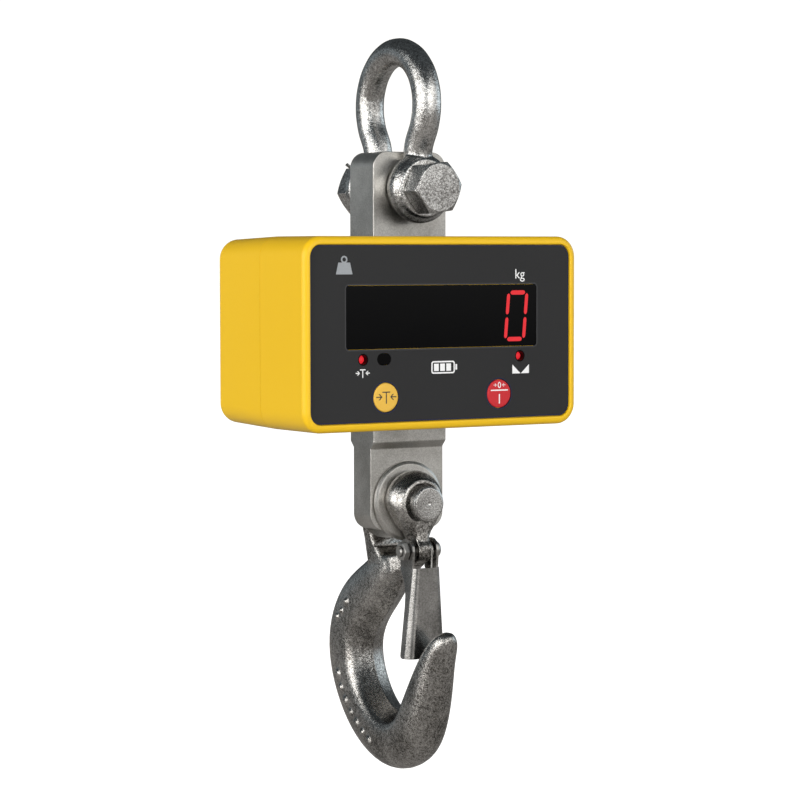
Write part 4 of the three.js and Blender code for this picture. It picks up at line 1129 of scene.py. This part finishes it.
# ---------------------------------------------------------------- hook
# A drop-forged clevis hook, its bar deepest at the back and the bottom, with flat facets and a
# flash line round the inside. The fork's front arm narrows to the lug that carries the latch.
EAR_R, EAR_IN = 18.2, 12.7
EAR_OUT = {"front": 27.0, "rear": 25.2}
PIN_R = 10.25
LOCK_Y, LOCK_R = 20, 2.9
LATCH_Y, LATCH_Z, LATCH_BOLT_R, LATCH_ROOM = -22.6, -281.0, 3.0, 9.4
LATCH_AT = (0, LATCH_Y, LATCH_Z)
LUG_R, LUG_W = 7.6, 4.4
# The floor of the slot that the load cell's lower end swings in.
CROTCH_Z = -281.6
# Middle of the bar in Y and Z, half its depth in that plane and half its width in X.
HOOK_BAR = [
    (1, -284, 11, 10), (3.5, -291, 13.8, 11), (18.5, -304.5, 16.8, 12.6),
    (36, -316.5, 19.6, 13.4), (46.2, -330, 20.4, 13.7), (49.9, -345, 20.2, 13.8),
    (45.4, -362.5, 19, 13.8), (32.9, -380.9, 18.2, 13.8), (14.9, -393.2, 18, 13.8),
    (-4.6, -397.2, 18, 13.8), (-21, -390.1, 17.6, 13.8), (-29.7, -374, 15, 13.4),
    (-36.4, -357, 11.8, 12.2), (-42.6, -342, 8.4, 10.4), (-49, -333.2, 7.2, 8.4),
    (-52.8, -328.7, 4.9, 5.9), (-54.4, -326.4, 1.8, 2.2),
]
# A round back, flat sides and two facets that meet in the flash line on the inside.
BAR_SECTION = [
    (1, 0), (0.94, 0.38), (0.77, 0.70), (0.47, 0.93), (0.10, 1.0), (-0.30, 0.99), (-0.50, 0.95),
    (-0.63, 0.87), (-0.72, 0.76), (-0.96, 0.12), (-1.0, 0.06), (-1.03, 0.02), (-1.03, 0),
]


def through_stations(stations, section):
    """A ring drawn from half a section, extruded through stations that bend in the YZ plane."""
    bm = bmesh.new()
    whole = section + [(depth, -width) for depth, width in reversed(section[1:-1])]
    verts = [bm.verts.new((width, 0, depth)) for depth, width in whole]
    edges = [bm.edges.new((verts[i], verts[i - 1])) for i in range(len(verts))]
    places = []
    for index, (y, z, depth, width) in enumerate(stations):
        before = stations[max(index - 1, 0)]
        after = stations[min(index + 1, len(stations) - 1)]
        along = Vector((0, after[0] - before[0], after[1] - before[1])).normalized()
        outward = Vector((0, -along.z, along.y))
        axes = Matrix((Vector((1, 0, 0)) * width, along, outward * depth)).transposed().to_4x4()
        places.append(Matrix.Translation((0, y, z)) @ axes)
    bmesh.ops.transform(bm, matrix=places[0], verts=verts)
    for before, after in zip(places, places[1:]):
        grown = bmesh.ops.extrude_edge_only(bm, edges=edges)["geom"]
        edges = [part for part in grown if isinstance(part, bmesh.types.BMEdge)]
        verts = [part for part in grown if isinstance(part, bmesh.types.BMVert)]
        bmesh.ops.transform(bm, matrix=after @ before.inverted(), verts=verts)
    bmesh.ops.holes_fill(bm, edges=[edge for edge in bm.edges if edge.is_boundary])
    bmesh.ops.recalc_face_normals(bm, faces=bm.faces)
    return bm


def hook_ear(side, out):
    """One domed ear of the fork, from its flat inner face to its outer one."""
    middle = (EAR_IN + out) / 2
    profile = [
        (0, EAR_IN), (EAR_R - 1.2, EAR_IN), (EAR_R - 0.2, EAR_IN + 1.0),
        (EAR_R + 0.3, middle - 2.6), (EAR_R - 0.4, middle + 0.6), (EAR_R - 2.4, out - 3.4),
        (EAR_R - 4.2, out - 0.6), (EAR_R - 5.4, out), (0, out),
    ]
    return on_side(turned(profile, (0, 0, PIN_Z), "Y", 72), side)


# The front ear's sides run straight down from the pin to the lug.
EAR_SIDES = [(18.6, PIN_Z + 22), (18.6, PIN_Z + 1), (13.8, -262), (8.0, -270.4), (5.2, -276)]
teardrop = slab(EAR_SIDES + [(-x, z) for x, z in reversed(EAR_SIDES)], "Y", -40, 0)
front_ear = combined(hook_ear(-1, EAR_OUT["front"]), "INTERSECT", teardrop)
ARM_SECTION = [(1, 0), (1, 0.6), (0.86, 0.9), (0.6, 1), (-0.6, 1), (-0.86, 0.9), (-1, 0.6), (-1, 0)]
front_arm = through_stations(
    [(-19.9, -248, 7.1, 15), (-19.9, -259, 7.1, 13.5), (-19.9, -266, 7.0, 10.2),
     (-20.2, -271, 6.8, 6.6), (-21.2, -276, 6.6, 4.9), (-21.6, -281, 6.6, 4.4),
     (-18.5, -285.5, 6.2, 4.6), (-12, -288.5, 6.0, 7.0), (-5, -291, 7.5, 9.6),
     (4, -294, 9.5, 10.5)],
    ARM_SECTION,
)
rear_arm = through_stations(
    [(18.9, -248, 6.1, 15.5), (18.8, -259, 6.0, 14.6), (17.6, -268, 5.0, 12.8),
     (16.6, -276, 5.2, 11.4),
     (13.5, -284, 7.6, 11), (9, -292, 10, 11), (8, -300, 10, 11)],
    ARM_SECTION,
)
bar = with_modifiers(
    through_stations(HOOK_BAR, BAR_SECTION), ("SUBSURF", {"levels": 2, "render_levels": 2}),
)
bmesh.ops.scale(bar, vec=(1.02, 1, 1), verts=bar.verts)
hook = fused(
    merged(bar, front_arm, rear_arm, hook_ear(1, EAR_OUT["rear"]), front_ear,
           rod(LUG_R, -LUG_W, LUG_W, LATCH_AT, "X", 40)),
    0.8, 4,
)
ear_room = [
    rod(LATCH_ROOM, low, high, LATCH_AT, "X", 48) for low, high in ((LUG_W, 20), (-20, -LUG_W))
]
hook = cut(hook, *ear_room)
# Low round bosses on one flank, where a maker would forge its marks: place in Y and Z, and radius.
BOSSES = [
    (47.0, -326.4, 1.6), (42.4, -322.4, 1.4), (37.0, -316.4, 1.9), (46.2, -361.0, 2.8),
    (42.8, -369.0, 2.4), (37.6, -376.2, 2.9), (31.6, -382.6, 2.4), (25.4, -388.0, 3.0),
    (18.6, -392.6, 2.4), (11.4, -396.6, 3.0),
]
bosses = [
    turned([(0, -15.2), (r - 0.9, -15.1), (r, -14.2), (r, -6), (0, -6)], (0, y, z), "X", 20)
    for y, z, r in BOSSES
]
hook = fused(merged(hook, *bosses), 0.62, 3)
hook = cut(
    hook,
    rod(PIN_R + 0.75, -40, 0, (0, 0, PIN_Z)),
    rod(PIN_R + 1.7, -40, -21.5, (0, 0, PIN_Z)),
    rod(PIN_R + 0.35, 0, 40, (0, 0, PIN_Z)),
    rod(LATCH_BOLT_R + 0.35, -20, 20, LATCH_AT, "X", 32),
    rod(LOCK_R, 0, 30, (0, LOCK_Y, PIN_Z), "X", 24),
    slab(rounded(-TANG_T - 0.6, TANG_T + 0.6, CROTCH_Z, PIN_Z + 30, 1, 2), "X", -30, 30),
)
hook_steel = forged_finish(
    "galvanised_hook", (0.085, 0.078, 0.07), (0.74, 0.72, 0.69), 0.09, 0.0003, 0.00016,
)
piece("hook_forging", hook, "hook", hook_steel, "hook", 60)

# ---------------------------------------------------------------- clevis pin and its pads
# A turned pin that joins the hook to the load cell, and a chamfered steel pad on each side of the
# cell that keeps the ears off its faces.
turned_steel = Finish("turned_steel", metallic=1.0)
lathe_marks = turned_steel.noise(1300.0, 3.0, 0.7)
haze = turned_steel.noise(60.0, 3.0)
worn = turned_steel.ramp(lathe_marks * 0.7 + haze * 0.3, (0.40, 0.0), (0.60, 1.0))
turned_steel.give(
    base_color=turned_steel.blend(worn, (0.30, 0.29, 0.28), (0.85, 0.84, 0.82)),
    roughness=0.16 + haze * 0.12 + worn * 0.06,
    normal=turned_steel.bump(lathe_marks, 0.00020, 0.6),
)
pin = turned(
    [(0, -32.6), (1.5, -33.7), (8.6, -33.8), (9.3, -33.6), (PIN_R - 0.1, -32.9), (PIN_R, -32.4),
     (PIN_R, 30), (PIN_R - 1.6, 31.6), (0, 31.6)], (0, 0, PIN_Z),
)
pin = cut(pin, rod(LOCK_R, 2, 30, (0, LOCK_Y, PIN_Z), "X", 24))
piece("clevis_pin_turned", pin, "hook", turned_steel, "clevis_pin", 35)
for side, name in ((-1, "front"), (1, "rear")):
    low, high = TANG_T + 0.35, EAR_IN - 0.35
    profile = [
        (PIN_R + 0.35, low), (23.4, low), (23.4, high - 1.2), (23, high - 0.8),
        (21.8, high - 0.1), (21.4, high), (PIN_R + 0.35, high), (PIN_R + 0.35, low),
    ]
    pad = on_side(turned(profile, (0, 0, PIN_Z), "Y", 96), side)
    piece(f"cell_pad_{name}", pad, "hook", stainless, f"hook_washer_{name}", 30)

# ---------------------------------------------------------------- latch
# A channel bent from zinc-plated sheet that closes the hook's mouth. Its ears turn on a small bolt
# through the lug, and a wound spring beside the lug holds it shut.
SHEET = 1.5
# Height, half width and front of the channel at its top and its end, and the bend's radius there.
LATCH_TOP = (-290.5, 9.0, -32.4, 3.7)
LATCH_END = (-343.2, 13.6, -31.6, 5.4)
# The rear edge of the flanges, in Y and Z.
FLANGE_REAR = [
    (-16, -290.5), (-17.4, -293), (-20.4, -297), (-22.6, -301.5), (-23.8, -307), (-24.0, -313),
    (-23.0, -341.4), (-23.6, -342.8), (-25.2, -343.2),
]


def channel_level(level, inset):
    """The channel's outline at one height: three sides and two round bends, open to the rear."""
    z, width, front, bend = level
    round_in = bend - inset
    points = [(-width + inset, -12 + inset)]
    points += arc((-width + bend, front + bend), round_in, 180, 270, 8)
    points += arc((width - bend, front + bend), round_in, 270, 360, 8)
    points.append((width - inset, -12 + inset))
    return [(x, y, z) for x, y in points]


def between_levels(top, end):
    """A solid whose outline changes from one level to the other."""
    bm = bmesh.new()
    rings = [[bm.verts.new(point) for point in level] for level in (top, end)]
    edges = []
    for ring_verts in rings:
        edges += [bm.edges.new((ring_verts[i], ring_verts[i - 1])) for i in range(len(ring_verts))]
    bmesh.ops.bridge_loops(bm, edges=edges)
    bmesh.ops.holes_fill(bm, edges=[edge for edge in bm.edges if edge.is_boundary])
    bmesh.ops.recalc_face_normals(bm, faces=bm.faces)
    return bm


def raised(level, dz):
    """The same level, moved up or down."""
    return (level[0] + dz, *level[1:])


channel = cut(
    between_levels(channel_level(LATCH_TOP, 0), channel_level(LATCH_END, 0)),
    between_levels(
        channel_level(raised(LATCH_TOP, 2), SHEET), channel_level(raised(LATCH_END, -2), SHEET),
    ),
)
channel = combined(
    channel, "INTERSECT",
    slab([(-40, LATCH_TOP[0])] + FLANGE_REAR + [(-40, LATCH_END[0])], "X", -20, 20),
)
ears = []
for low, high in ((LATCH_TOP[1] - SHEET, LATCH_TOP[1]), (-LATCH_TOP[1], SHEET - LATCH_TOP[1])):
    cheek = arc((LATCH_Y, LATCH_Z), 7.2, -6, 186, 24) + [
        (LATCH_TOP[2] + LATCH_TOP[3], LATCH_TOP[0] - 1.5), (-16.9, LATCH_TOP[0] - 1.5),
    ]
    ears.append(slab(cheek, "X", low, high))
latch = cut(joined(channel, *ears), rod(LATCH_BOLT_R + 0.35, -20, 20, LATCH_AT, "X", 32))
soften(latch, 0.28, 2, 40)
sheet_steel = Finish("latch_sheet", metallic=1.0)
fleck = sheet_steel.noise(900.0, 3.0, 0.6)
wash = sheet_steel.noise(40.0, 4.0, 0.6)
sheet_steel.give(
    base_color=sheet_steel.blend(
        sheet_steel.ramp(wash * 0.6 + fleck * 0.4, (0.38, 0.0), (0.62, 1.0)),
        (0.26, 0.255, 0.245), (0.62, 0.61, 0.595),
    ),
    roughness=0.12 + wash * 0.10 + fleck * 0.10,
    normal=sheet_steel.bump(fleck, 0.00010, 0.5),
)
piece("latch_channel", latch, "latch", sheet_steel, "latch", 35)

# The small bolt that the latch turns on, its nut and its spring stay with the hook.
OUT = LATCH_TOP[1] + 0.35
latch_bolt = turned(
    [(0, -14.6), (LATCH_BOLT_R - 0.8, -14.6), (LATCH_BOLT_R - 0.1, -13.9), (LATCH_BOLT_R, OUT),
     (5.2, OUT), (5.3, OUT + 0.8), (5.0, OUT + 2.0), (4.2, OUT + 3.1), (2.6, OUT + 3.8),
     (0, OUT + 4)],
    LATCH_AT, "X", 40,
)
piece("latch_pivot_bolt", latch_bolt, "hook", zinc, "latch_bolt", 40)
NUT_END = -OUT - 3.6
small_nut = combined(
    slab(hex_outline(LATCH_Y, LATCH_Z, 5.6), "X", NUT_END, -OUT), "INTERSECT",
    turned([(0, NUT_END), (4.7, NUT_END), (6.2, -OUT - 2.7), (6.2, -OUT - 0.9), (4.9, -OUT),
            (0, -OUT)], LATCH_AT, "X", 48),
)
small_nut = cut(small_nut, rod(LATCH_BOLT_R + 0.3, -20, 0, LATCH_AT, "X", 32))
piece("latch_pivot_nut", small_nut, "hook", zinc, "latch_nut", 35)

WIRE, COIL_R, COIL_X = 0.65, 4.9, LUG_W + 0.75
coil = [
    (COIL_X + 1.3 * step / 30, LATCH_Y - COIL_R * math.cos(math.tau * step / 16),
     LATCH_Z + COIL_R * math.sin(math.tau * step / 16))
    for step in range(33)
]
leg = [
    (COIL_X - 1, LATCH_Y - COIL_R - 0.4, LATCH_Z - 20),
    (COIL_X, LATCH_Y - COIL_R - 0.3, LATCH_Z - 8),
]
spring = round_bar(leg + coil, WIRE, resolution=4, sides=3)
piece("latch_wire_spring", spring, "hook", zinc, "latch_spring", 60)
